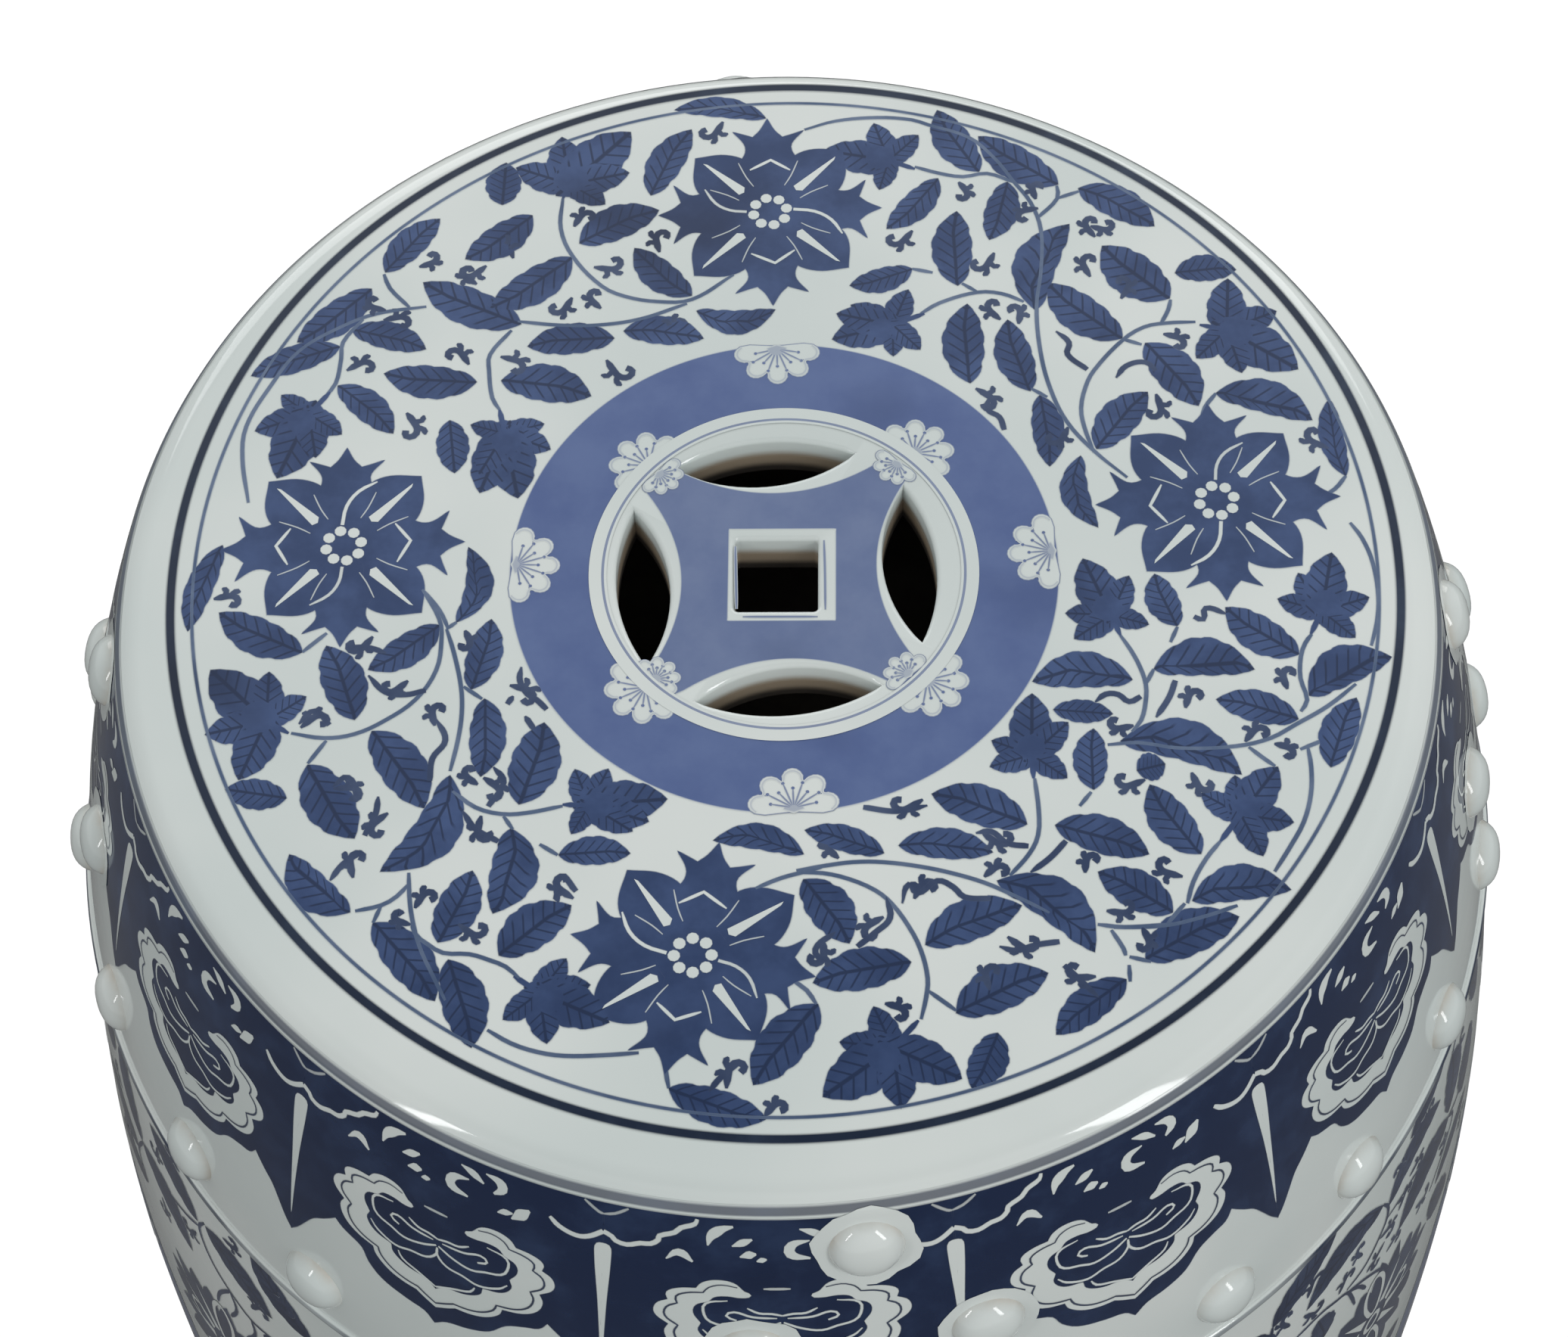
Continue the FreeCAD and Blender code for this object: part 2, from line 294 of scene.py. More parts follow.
def lens_outline(reach, half_length, outer_rise, inner_rise, count):
    """A lens whose long axis lies across, its middle at that reach up, as points going round."""
    outer_bend = (half_length ** 2 + outer_rise ** 2) / (2 * outer_rise)
    inner_bend = (half_length ** 2 + inner_rise ** 2) / (2 * inner_rise)
    outer_half = asin(half_length / outer_bend)
    inner_half = asin(half_length / inner_bend)
    points = []
    for i in range(count):
        swing = outer_half - 2 * outer_half * i / count
        top = reach + outer_rise - outer_bend
        points.append((outer_bend * sin(swing), top + outer_bend * cos(swing)))
    for i in range(count):
        swing = -inner_half + 2 * inner_half * i / count
        low = reach - inner_rise + inner_bend
        points.append((inner_bend * sin(swing), low - inner_bend * cos(swing)))
    return points


def square_outline(side, count, corner):
    """A square with small round corners."""
    points = []
    half = side / 2 - corner
    for quarter in range(4):
        for i in range(count):
            swing = pi / 2 * (quarter + i / (count - 1))
            cx = half if quarter in (0, 3) else -half
            cy = half if quarter in (0, 1) else -half
            points.append((cx + corner * cos(swing), cy + corner * sin(swing)))
    return points


def turned_points(points, angle, shift=(0.0, 0.0)):
    return [(x * cos(angle) - y * sin(angle) + shift[0],
             x * sin(angle) + y * cos(angle) + shift[1]) for x, y in points]


def swollen(points, amount):
    """The outline moved outwards by an amount, its corners kept."""
    result = []
    for i, (x, y) in enumerate(points):
        x0, y0 = points[i - 1]
        x1, y1 = points[(i + 1) % len(points)]
        ax, ay = y - y0, x0 - x
        bx, by = y1 - y, x - x1
        la, lb = hypot(ax, ay) or 1.0, hypot(bx, by) or 1.0
        nx, ny = ax / la + bx / lb, ay / la + by / lb
        size = max(hypot(nx, ny), 0.9)
        result.append((x + nx / size * amount, y + ny / size * amount))
    return result


LIP = 1.1 * MM
SEAT_CUT = 20 * MM
SIDE_CUT = 40 * MM


def cut_hole(outline, place, wall_depth):
    """Cuts a hole through the wall. The cutter flares at the face, which leaves a soft lip."""
    rings = [(LIP * 1.5, -3 * MM), (LIP, -0.02 * MM)]
    rings += [(LIP * (1 - sin(a)), LIP * (1 - cos(a))) for a in (0.4, 0.8, 1.2, pi / 2)]
    rings += [(0.0, wall_depth)]
    shape = bmesh.new()
    loops = []
    for spread, depth in rings:
        loops.append([shape.verts.new(place(x, y, depth)) for x, y in swollen(outline, spread)])
    for upper, lower in zip(loops, loops[1:]):
        for i in range(len(upper)):
            j = (i + 1) % len(upper)
            shape.faces.new((upper[i], upper[j], lower[j], lower[i]))
    shape.faces.new(loops[0])
    shape.faces.new(loops[-1][::-1])
    bmesh.ops.recalc_face_normals(shape, faces=shape.faces)
    data = bpy.data.meshes.new("cutter")
    shape.to_mesh(data)
    shape.free()
    cutter = bpy.data.objects.new("cutter", data)
    bpy.context.scene.collection.objects.link(cutter)
    cut = body.modifiers.new("hole", "BOOLEAN")
    cut.operation = "DIFFERENCE"
    cut.solver = "EXACT"
    cut.object = cutter
    apply_modifiers(body)
    bpy.data.objects.remove(cutter)


def on_seat(x, y, depth):
    return x, y, height - depth


def on_right_side(y, rise, depth):
    z = middle + rise
    return sqrt(drum_at(z)[0] ** 2 - y ** 2) - depth, y, z


def on_left_side(y, rise, depth):
    x, _, z = on_right_side(y, rise, depth)
    return -x, y, z


COIN_PLACE = (0.2 * MM, 3.0 * MM)
COIN_TURN = radians(3)
SQUARE_TURN = radians(-2.5)
coin_lens = lens_outline(27.6 * MM, 18.4 * MM, 4.8 * MM, 6 * MM, 20)
coin_square = square_outline(16.8 * MM, 4, 0.9 * MM)
side_lens = lens_outline(60 * MM, 40 * MM, 12 * MM, 13 * MM, 24)
side_square = square_outline(36 * MM, 5, 2.5 * MM)
for quarter in range(4):
    cut_hole(turned_points(coin_lens, COIN_TURN + quarter * pi / 2, COIN_PLACE), on_seat, SEAT_CUT)
cut_hole(turned_points(coin_square, SQUARE_TURN, COIN_PLACE), on_seat, SEAT_CUT)
for on_side in (on_right_side, on_left_side):
    for quarter in range(4):
        cut_hole(turned_points(side_lens, quarter * pi / 2), on_side, SIDE_CUT)
    cut_hole(side_square, on_side, SIDE_CUT)
make_active(body)
bpy.ops.object.mode_set(mode="EDIT")
bpy.ops.mesh.select_all(action="SELECT")
bpy.ops.mesh.remove_doubles(threshold=2 * MERGE)
bpy.ops.object.mode_set(mode="OBJECT")
bpy.ops.object.shade_smooth_by_angle(angle=CREASE)

# One coat of clear feldspar glaze over white clay gives a cool grey white that pools a little. The
# cobalt lies under it, so painted and bare clay have the same gloss.
GROUND_COOL = (0.560, 0.615, 0.602, 1.0)
GROUND_PALE = (0.640, 0.680, 0.662, 1.0)
SPECK = (0.20, 0.15, 0.10, 1.0)
GLOSS = 0.07
GLAZE_IOR = 1.5


class Nodes:
    """A material's node tree, with short ways to add to it."""

    def __init__(self, name):
        self.material = bpy.data.materials.new(name)
        self.material.use_nodes = True
        self.tree = self.material.node_tree
        self.shader = self.tree.nodes["Principled BSDF"]
        self.place = self.tree.nodes.new("ShaderNodeTexCoord").outputs["Object"]

    def set(self, socket, value):
        if hasattr(value, "is_output"):
            self.tree.links.new(value, socket)
        else:
            socket.default_value = value

    def math(self, operation, first, second=0.0, third=None):
        node = self.tree.nodes.new("ShaderNodeMath")
        node.operation = operation
        self.set(node.inputs[0], first)
        self.set(node.inputs[1], second)
        if third is not None:
            self.set(node.inputs[2], third)
        return node.outputs[0]

    def mix(self, factor, first, second):
        node = self.tree.nodes.new("ShaderNodeMix")
        node.data_type = "RGBA"
        self.set(node.inputs["Factor"], factor)
        self.set(node.inputs[6], first)
        self.set(node.inputs[7], second)
        return node.outputs[2]

    def clouds(self, scale, detail=3.0, roughness=0.5):
        node = self.tree.nodes.new("ShaderNodeTexNoise")
        node.inputs["Scale"].default_value = scale
        node.inputs["Detail"].default_value = detail
        node.inputs["Roughness"].default_value = roughness
        self.tree.links.new(self.place, node.inputs["Vector"])
        return node.outputs["Fac"]

    def between(self, value, low, high, out_low=0.0, out_high=1.0):
        node = self.tree.nodes.new("ShaderNodeMapRange")
        node.interpolation_type = "SMOOTHSTEP"
        self.set(node.inputs["Value"], value)
        limits = {"From Min": low, "From Max": high, "To Min": out_low, "To Max": out_high}
        for socket, number in limits.items():
            node.inputs[socket].default_value = number
        return node.outputs["Result"]

    def attribute(self, name):
        node = self.tree.nodes.new("ShaderNodeAttribute")
        node.attribute_name = name
        return node.outputs["Fac"]

    def split_place(self):
        node = self.tree.nodes.new("ShaderNodeSeparateXYZ")
        self.tree.links.new(self.place, node.inputs["Vector"])
        return node.outputs

    def bump(self, height_value, depth, strength):
        node = self.tree.nodes.new("ShaderNodeBump")
        node.inputs["Strength"].default_value = strength
        node.inputs["Distance"].default_value = depth
        self.set(node.inputs["Height"], height_value)
        self.tree.links.new(node.outputs["Normal"], self.shader.inputs["Normal"])

    def white_ground(self):
        """White clay under glaze that pools a little, with a few iron specks."""
        pooled = self.between(self.clouds(11.0), 0.35, 0.68)
        ground = self.mix(pooled, GROUND_COOL, GROUND_PALE)
        cells = self.tree.nodes.new("ShaderNodeTexVoronoi")
        cells.inputs["Scale"].default_value = 52.0
        self.tree.links.new(self.place, cells.inputs["Vector"])
        chosen = self.tree.nodes.new("ShaderNodeSeparateColor")
        self.tree.links.new(cells.outputs["Color"], chosen.inputs["Color"])
        sparse = self.math("LESS_THAN", chosen.outputs[0], 0.055)
        dot = self.between(cells.outputs["Distance"], 0.010, 0.020, 0.75, 0.0)
        return self.mix(self.math("MULTIPLY", sparse, dot), ground, SPECK)

    def glazed(self, colour):
        """The finish of every glazed piece: one gloss over that colour."""
        self.set(self.shader.inputs["Base Color"], colour)
        self.shader.inputs["IOR"].default_value = GLAZE_IOR
        smears = self.between(self.clouds(35.0), 0.3, 0.7, GLOSS * 0.8, GLOSS * 1.3)
        self.set(self.shader.inputs["Roughness"], smears)
        self.bump(self.clouds(95.0, 2.0), 0.5 * MM, 0.10)
        return self.material


# the body's own finish: glaze outside and on the hole lips, a browned edge, then bare clay painted
# nearly black inside as painted shade
INSIDE_SHADE_DARK = (0.022, 0.017, 0.014, 1.0)
INSIDE_SHADE_MOTTLED = (0.035, 0.028, 0.022, 1.0)
BARE_EDGE = (0.30, 0.245, 0.18, 1.0)
finish = Nodes("porcelain_glaze")
depth_in_wall = finish.attribute("within")
ground = finish.white_ground()
mottle = finish.between(finish.clouds(60.0, 4.0), 0.35, 0.65)
# painted shade: the bare clay inside the drum is given a near-black colour
shaded_inner_clay = finish.mix(mottle, INSIDE_SHADE_DARK, INSIDE_SHADE_MOTTLED)
lip_and_shaded_inside = finish.mix(finish.between(depth_in_wall, 0.28, 0.55), ground, BARE_EDGE)
lip_and_shaded_inside = finish.mix(finish.between(depth_in_wall, 0.66, 0.90), lip_and_shaded_inside, shaded_inner_clay)
finish.glazed(lip_and_shaded_inside)
matt_within = finish.between(depth_in_wall, 0.3, 0.9, GLOSS, 0.9)
finish.set(finish.shader.inputs["Roughness"], matt_within)
body.data.materials.append(finish.material)

# how far each point lies within the wall: 0 on the outside, 1 on the inner face
UNDER_TOP = 1e-5
within = body.data.attributes.new("within", "FLOAT", "POINT")
for vertex in body.data.vertices:
    x, y, z = vertex.co
    depth = min(height - z, drum_at(min(z, height - UNDER_TOP))[0] - hypot(x, y))
    within.data[vertex.index].value = min(max(depth / WALL, 0.0), 1.0)

COURSES = ("lower_shoulder", "lower_barrel", "upper_barrel", "upper_shoulder")
courses = [f"{course}_{side}" for course in COURSES for side in ("right", "back", "left", "front")]
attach(body, "root")
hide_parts("seat", *courses)

# Foot
# The same clay. The ring that the drum stands on is cut square inside and wiped bare of glaze
# underneath, so that it doesn't stick to the kiln shelf.
FOOT_BORE = 104 * MM
FOOT_LEVELS = (1.6 * MM, 3 * MM, 5 * MM, 7.2 * MM, 9.5 * MM, FOOT_HEIGHT)
foot_section = [(drum_at(0.6 * MM)[0] - 1 * MM, 0.5 * MM), *[(drum_at(z)[0], z) for z in FOOT_LEVELS]]
foot_section += [(FOOT_BORE + 1.2 * MM, FOOT_HEIGHT), (FOOT_BORE, FOOT_HEIGHT - 1.2 * MM)]
foot_section += [(FOOT_BORE, 1.5 * MM), (FOOT_BORE + 1.5 * MM, 0.0)]
foot_section += [(drum_at(0.2 * MM)[0] - 3 * MM, 0.0)]
foot = turned("foot", foot_section)

# glazed down to a ragged line, bare and a little browned where it stands
CLAY_DARK = (0.50, 0.42, 0.32, 1.0)
CLAY_PALE = (0.66, 0.58, 0.47, 1.0)
CLAY_BROWNED = (0.40, 0.27, 0.17, 1.0)
bare = Nodes("biscuit_foot")
x, y, z = bare.split_place()
ragged = bare.math("ADD", z, bare.math("MULTIPLY", bare.clouds(40.0), 3.0 * MM))
grain = bare.clouds(420.0, 4.0, 0.6)
clay = bare.mix(bare.between(grain, 0.35, 0.65), CLAY_DARK, CLAY_PALE)
clay = bare.mix(bare.between(bare.clouds(22.0), 0.5, 0.75), clay, CLAY_BROWNED)
squares = bare.math("ADD", bare.math("MULTIPLY", x, x), bare.math("MULTIPLY", y, y))
from_axis = bare.math("SQRT", squares)
above_line = bare.between(ragged, 4.6 * MM, 5.4 * MM)
outer = bare.math("MULTIPLY", above_line, bare.between(from_axis, 0.121, 0.123))
bare.set(bare.shader.inputs["Base Color"], bare.mix(outer, clay, bare.white_ground()))
bare.set(bare.shader.inputs["Roughness"], bare.between(outer, 0.2, 0.9, 0.85, GLOSS))
bare.bump(grain, 0.3 * MM, 0.25)
foot.data.materials.append(bare.material)
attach(foot, "root")
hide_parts("foot_ring")

# Seam lines
# A thread of clay left proud where the shoulder was luted to the barrel, softened by the glaze. The
# brush left a worn navy line on the side of each thread that faces its end of the drum.
SEAM_BEAD = 1.3 * MM
SEAM_NAVY = (0.012, 0.024, 0.055, 1.0)
LINE_AT = seam_rise + 0.55 * MM
bead = Nodes("seam_glaze")
rise_from_middle = bead.math("ABSOLUTE", bead.math("SUBTRACT", bead.split_place()[2], middle))
off_line = bead.math("ABSOLUTE", bead.math("SUBTRACT", rise_from_middle, LINE_AT))
worn = bead.between(bead.clouds(30.0, 3.0), 0.35, 0.7, 1.0, 0.45)
line_ink = bead.math("MULTIPLY", bead.between(off_line, 0.55 * MM, 0.95 * MM, 1.0, 0.0), worn)
bead.glazed(bead.mix(line_ink, bead.white_ground(), SEAM_NAVY))
for end, level_height in (("upper", height - SEAM_DEPTH), ("lower", SEAM_DEPTH)):
    deselect()
    bpy.ops.mesh.primitive_torus_add(
        location=(0, 0, level_height), major_radius=SEAM_RADIUS - 0.4 * MM, minor_radius=SEAM_BEAD,
        major_segments=TURNING_STEPS, minor_segments=12)
    seam = bpy.context.active_object
    seam.name = seam.data.name = end + "_seam_line"
    bpy.ops.object.transform_apply(location=True, rotation=True, scale=True)
    bpy.ops.object.mode_set(mode="EDIT")
    bpy.ops.mesh.select_all(action="SELECT")
    bpy.ops.transform.resize(value=(1, 1, 1.35), center_override=(0, 0, level_height))
    bpy.ops.object.mode_set(mode="OBJECT")
    bpy.ops.object.shade_smooth()
    seam.data.materials.append(bead.material)
    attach(seam, "root")

# Bosses
# Buttons of clay pressed on by thumb and glazed with the rest: rings of 24 by the seams, and
# groups of three on each side. Each is a low dome with a rounded foot, and no two are quite alike.
BOSS_RADIUS = 8 * MM
BOSS_RISE = 4 * MM
deselect()
bpy.ops.mesh.primitive_uv_sphere_add(segments=28, ring_count=18, radius=1.0)
button = bpy.context.active_object
bpy.ops.object.mode_set(mode="EDIT")
bpy.ops.mesh.select_all(action="SELECT")
bpy.ops.mesh.bisect(plane_co=(0, 0, 0), plane_no=(0, 0, 1), clear_inner=True, use_fill=False)
bpy.ops.mesh.select_all(action="DESELECT")
bpy.ops.object.mode_set(mode="OBJECT")
for vertex in button.data.vertices:
    from_axis = min(hypot(vertex.co.x, vertex.co.y), 1.0)
    dome = (1 - from_axis ** 2.3) ** 0.62
    vertex.co.z = dome * BOSS_RISE - 1.2 * MM * from_axis ** 6
    vertex.co.x *= BOSS_RADIUS
    vertex.co.y *= BOSS_RADIUS


def drum_normal(x, y, z):
    return outward(atan2(y, x), drum_at(z)[1])


def boss_place(angle, z):
    """Turn and place that set the boss on the wall."""
    normal = drum_normal(cos(angle), sin(angle), z)
    radius = drum_at(z)[0]
    across = Vector((-sin(angle), cos(angle), 0.0))
    spot = Matrix((across, normal.cross(across), normal)).transposed().to_4x4()
    spot.translation = (radius * cos(angle), radius * sin(angle), z)
    return spot


RING_DEPTH = 75 * MM
TRIO_TIP_DEPTH = 14 * MM
TRIO_BASE_DEPTH = 44 * MM
TRIO_SPREAD = radians(9)
ring_places = [(radians(4 + 15 * i), RING_DEPTH) for i in range(24)]
trio_places = []
for a in (radians(degree) for degree in (-2, 92, 182, 275)):
    trio_places.append((a, TRIO_TIP_DEPTH))
    trio_places += [(a - TRIO_SPREAD, TRIO_BASE_DEPTH), (a + TRIO_SPREAD, TRIO_BASE_DEPTH)]

# the glaze is tinged browner towards the foot of each boss, in patches
BOSS_TINGE = (0.50, 0.47, 0.41, 1.0)
TINGE_UP_TO = 0.45 * BOSS_RISE
runny = Nodes("boss_glaze")
thin = runny.attribute("foot_tinge")
patch = runny.between(runny.clouds(120.0, 3.0), 0.42, 0.66)
tinge = runny.math("MULTIPLY", thin, runny.math("MULTIPLY_ADD", patch, 0.6, 0.35))
runny.glazed(runny.mix(tinge, runny.white_ground(), BOSS_TINGE))

for end in ("upper", "lower"):
    for kind, places in (("ring", ring_places), ("trio", trio_places)):
        deselect()
        for number, (angle, depth) in enumerate(places):
            z = FULL_HEIGHT - depth if end == "upper" else depth
            copy = bpy.data.objects.new("copy", button.data.copy())
            bpy.context.scene.collection.objects.link(copy)
            # each is a little oval and a little lower than its neighbour, at random
            wobble = Vector((angle * 3.0, z * 40.0, 0.5))
            stretch = 1 + 0.05 * smooth_noise(wobble)
            lower = 1 - 0.10 * abs(smooth_noise(wobble + Vector((5, 1, 0))))
            copy.data.transform(Matrix.Diagonal((stretch * 0.97, 0.97 / stretch, lower, 1)))
            copy.data.transform(Matrix.Rotation(3 * angle + number, 4, "Z"))
            copy.data.transform(boss_place(angle, z))
            copy.select_set(True)
        bpy.context.view_layer.objects.active = copy
        bpy.ops.object.join()
        group = bpy.context.active_object
        group.name = group.data.name = f"{end}_{kind}_buttons"
        bpy.ops.object.shade_smooth()
        group.data.materials.append(runny.material)
        # how near the foot of the boss each point lies: 1 at the wall, falling to 0 at 45 per cent of
        # its rise
        foot_tinge = group.data.attributes.new("foot_tinge", "FLOAT", "POINT")
        for vertex in group.data.vertices:
            radius, lean = drum_at(vertex.co.z)
            proud = (hypot(vertex.co.x, vertex.co.y) - radius) * cos(lean)
            foot_tinge.data[vertex.index].value = min(max(1.0 - proud / TINGE_UP_TO, 0.0), 1.0)
        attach(group, "root")
        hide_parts(f"{end}_{kind}_bosses")
bpy.data.objects.remove(button)

# Brushwork
# Cobalt oxide brushed on the dry clay before glazing. Each stroke is a thin film, less than a fifth
# of a millimetre over the glaze, with a soft edge. It is drawn flat in a sheet, in millimetres.
# How high the edge and the middle of a stroke stand at each level: 0 is paint, 1 white reserved in
# it, 2 lines in that white, and 3 what covers all. Strokes in one cell get planes a step apart.
FILM_LIFTS = tuple((low * MM, high * MM) for low, high in
                   ((0.03, 0.06), (0.09, 0.10), (0.13, 0.14), (0.166, 0.17)))
FILM_STEPS = 41
FILM_STEP = 0.0006 * MM
CELL = 4.0
SOFT_EDGE = 0.28
NOT_A_LEAF = 9.0
VEINS = 7.0
VEIN_SLANT = -2.6
VEIN_STRENGTH = 0.82
# painted shade over the front: full in front of the first y, gone behind the second, and its strength
FRONT = -0.115
FRONT_ENDS = -0.04
FRONT_SHADE_DEPTH = 0.34


def painted(name, full, thin, deep, leafy=False, uneven=(0.35, 0.68)):
    """Cobalt under glaze: thin where the brush ran dry, full elsewhere, deep in a leaf's veins."""
    paint = Nodes(name)
    streaks = paint.between(paint.clouds(70.0, 4.0, 0.6), *uneven)
    blue = paint.mix(streaks, full, thin)
    pools = paint.between(paint.clouds(26.0, 2.0), 0.58, 0.78, 0.0, 0.65)
    blue = paint.mix(pools, blue, deep)
    # painted shade: the blue is darkened towards the front of the stool
    front_painted_shade = paint.between(paint.split_place()[1], FRONT, FRONT_ENDS, FRONT_SHADE_DEPTH, 0.0)
    blue = paint.mix(front_painted_shade, blue, deep)
    if leafy:
        along = paint.attribute("along")
        side = paint.math("ABSOLUTE", paint.attribute("across"))
        on_leaf = paint.math("LESS_THAN", side, 1.0)
        rib = paint.between(side, 0.025, 0.06, 1.0, 0.0)
        count = paint.math("MULTIPLY", along, VEINS)
        slant = paint.math("FRACT", paint.math("MULTIPLY_ADD", side, VEIN_SLANT, count))
        off_vein = paint.math("ABSOLUTE", paint.math("SUBTRACT", slant, 0.5))
        vein = paint.between(off_vein, 0.05, 0.13, 1.0, 0.0)
        inner = paint.between(side, 0.36, 0.46, 1.0, 0.0)
        lines = paint.math("MAXIMUM", rib, paint.math("MULTIPLY", vein, inner))
        lines = paint.math("MULTIPLY", paint.math("MULTIPLY", lines, on_leaf), VEIN_STRENGTH)
        blue = paint.mix(lines, blue, deep)
    return paint.glazed(paint.mix(paint.attribute("ink"), paint.white_ground(), blue))


film = {"first": 0, "taken": {}}


def new_sheet(first_step=0, over_last=False):
    """An empty sheet. first_step keeps its strokes off the planes of the sheets beside it, and
    over_last off those of the sheets that it lies over."""
    film["first"] = first_step
    if not over_last:
        film["taken"] = {}
    sheet = bmesh.new()
    for layer in ("ink", "along", "across", "lift"):
        sheet.verts.layers.float.new(layer)
    return sheet


def dab(sheet, x, y, lift, ink, along=0.0, across=NOT_A_LEAF):
    layers = sheet.verts.layers.float
    vert = sheet.verts.new((x, y, 0.0))
    vert[layers["ink"]] = ink
    vert[layers["along"]] = along
    vert[layers["across"]] = across
    vert[layers["lift"]] = lift
    return vert


CURVE_HANDLE = 0.36


def through(corners, spacing=1.1, closed=True):
    """A smooth line through corners, as points. A corner with a third number is pointed."""
    count = len(corners)
    points = [Vector((corner[0], corner[1], 0.0)) for corner in corners]
    result = []
    for i in range(count if closed else count - 1):
        j = (i + 1) % count
        span = (points[j] - points[i]).length
        if span < 1e-6:
            continue
        leave = arrive = (points[j] - points[i]).normalized()
        if len(corners[i]) == 2 and (closed or i):
            leave = (points[j] - points[i - 1]).normalized()
        if len(corners[j]) == 2 and (closed or j < count - 1):
            arrive = (points[(j + 1) % count] - points[i]).normalized()
        steps = max(2, ceil(span / spacing)) + 1
        first_handle = points[i] + leave * span * CURVE_HANDLE
        second_handle = points[j] - arrive * span * CURVE_HANDLE
        line = interpolate_bezier(points[i], first_handle, second_handle, points[j], steps)
        result += [(point.x, point.y) for point in line[:-1]]
    if not closed:
        result.append((points[-1].x, points[-1].y))
    return result


def lifts_of(level, points, filled=True):
    """The film's edge and middle. Strokes that may cross get planes a hair apart."""
    if filled:
        columns, rows = ([floor(point[axis] / CELL) for point in points] for axis in (0, 1))
        cells = {(level, i, j) for i in range(min(columns), max(columns) + 1)
                 for j in range(min(rows), max(rows) + 1)}
    else:
        cells = {(level, floor((x + dx) / CELL), floor((y + dy) / CELL)) for x, y in points
                 for dx in (-1.5, 1.5) for dy in (-1.5, 1.5)}
    taken = set().union(*(film["taken"].get(cell, ()) for cell in cells))
    order = [(film["first"] + i) % FILM_STEPS for i in range(FILM_STEPS)]
    step = next((i for i in order if i not in taken), 0)
    for cell in cells:
        film["taken"].setdefault(cell, set()).add(step)
    low, high = FILM_LIFTS[level]
    return low, high + FILM_STEP * step


def mark(sheet, outline, level=0, ink=1.0, around=0.0, soft=SOFT_EDGE, unit=None):
    """A filled stroke. unit gives a leaf's own coordinates for each point."""
    area = sum(outline[i - 1][0] * p[1] - p[0] * outline[i - 1][1] for i, p in enumerate(outline))
    if area < 0:
        outline = outline[::-1]
        unit = unit[::-1] if unit else None
    unit = unit or [(0.0, NOT_A_LEAF)] * len(outline)
    low, high = lifts_of(level, outline)
    core = [dab(sheet, x, y, high, ink, *uv) for (x, y), uv in zip(outline, unit)]
    halo = [dab(sheet, x, y, low, around, *uv) for (x, y), uv in zip(swollen(outline, soft), unit)]
    sheet.faces.new(core)
    for i in range(len(core)):
        sheet.faces.new((core[i - 1], halo[i - 1], halo[i], core[i]))


def ribbon(sheet, corners, width, level=0, ink=1.0, around=0.0, ends=(0.35, 0.35), soft=0.22,
           spacing=1.6, closed=False, taper=5.0):
    """A brushed line, thinner at its ends."""
    line = through(corners, spacing, closed)
    low, high = lifts_of(level, line, filled=False)
    rows = []
    last = len(line) - 1
    for i, (x, y) in enumerate(line):
        if closed:
            before, after = line[i - 1], line[(i + 1) % len(line)]
            half = width / 2
        else:
            before, after = line[max(i - 1, 0)], line[min(i + 1, last)]
            along = i / last
            half = width / 2 * min(1.0, ends[0] + along * taper, ends[1] + (1 - along) * taper)
        dx, dy = after[0] - before[0], after[1] - before[1]
        size = hypot(dx, dy) or 1.0
        nx, ny = -dy / size, dx / size
        outer = half + soft
        rows.append((dab(sheet, x + nx * outer, y + ny * outer, low, around),
                     dab(sheet, x + nx * half, y + ny * half, high, ink),
                     dab(sheet, x - nx * half, y - ny * half, high, ink),
                     dab(sheet, x - nx * outer, y - ny * outer, low, around)))
    pairs = list(zip(rows, rows[1:])) + ([(rows[-1], rows[0])] if closed else [])
    for a, b in pairs:
        for k in range(3):
            sheet.faces.new((a[k], a[k + 1], b[k + 1], b[k]))


def band(sheet, inner, outer, level=0, ink=1.0, around=0.0, soft=0.25, steps=240):
    """A ring laid with the piece turning on a wheel."""
    low, high = lifts_of(level, [(-outer, -outer), (outer, outer)])
    radii = ((inner - soft, low, around), (inner, high, ink), (outer, high, ink),
             (outer + soft, low, around))
    rows = []
    for i in range(steps):
        swing = tau * i / steps
        rows.append([dab(sheet, r * cos(swing), r * sin(swing), lift, value)
                     for r, lift, value in radii])
    for i in range(steps):
        for k in range(3):
            sheet.faces.new((rows[i - 1][k], rows[i - 1][k + 1], rows[i][k + 1], rows[i][k]))


def disc(x, y, radius, count):
    """Points round a circle."""
    return [(x + radius * cos(tau * i / count), y + radius * sin(tau * i / count))
            for i in range(count)]


# one edge of a leaf: how far along it, and how far out for a leaf of width 1
LEAF_SIDE = (
    (0.0, 0.0), (0.03, 0.10), (0.08, 0.235), (0.14, 0.345), (0.20, 0.40), (0.245, 0.405),
    (0.275, 0.43), (0.32, 0.495), (0.385, 0.53), (0.45, 0.515), (0.485, 0.505), (0.52, 0.53),
    (0.58, 0.535), (0.64, 0.50), (0.685, 0.445), (0.715, 0.425), (0.76, 0.425), (0.81, 0.375),
    (0.86, 0.29), (0.895, 0.225), (0.94, 0.15), (1.0, 0.0),
)


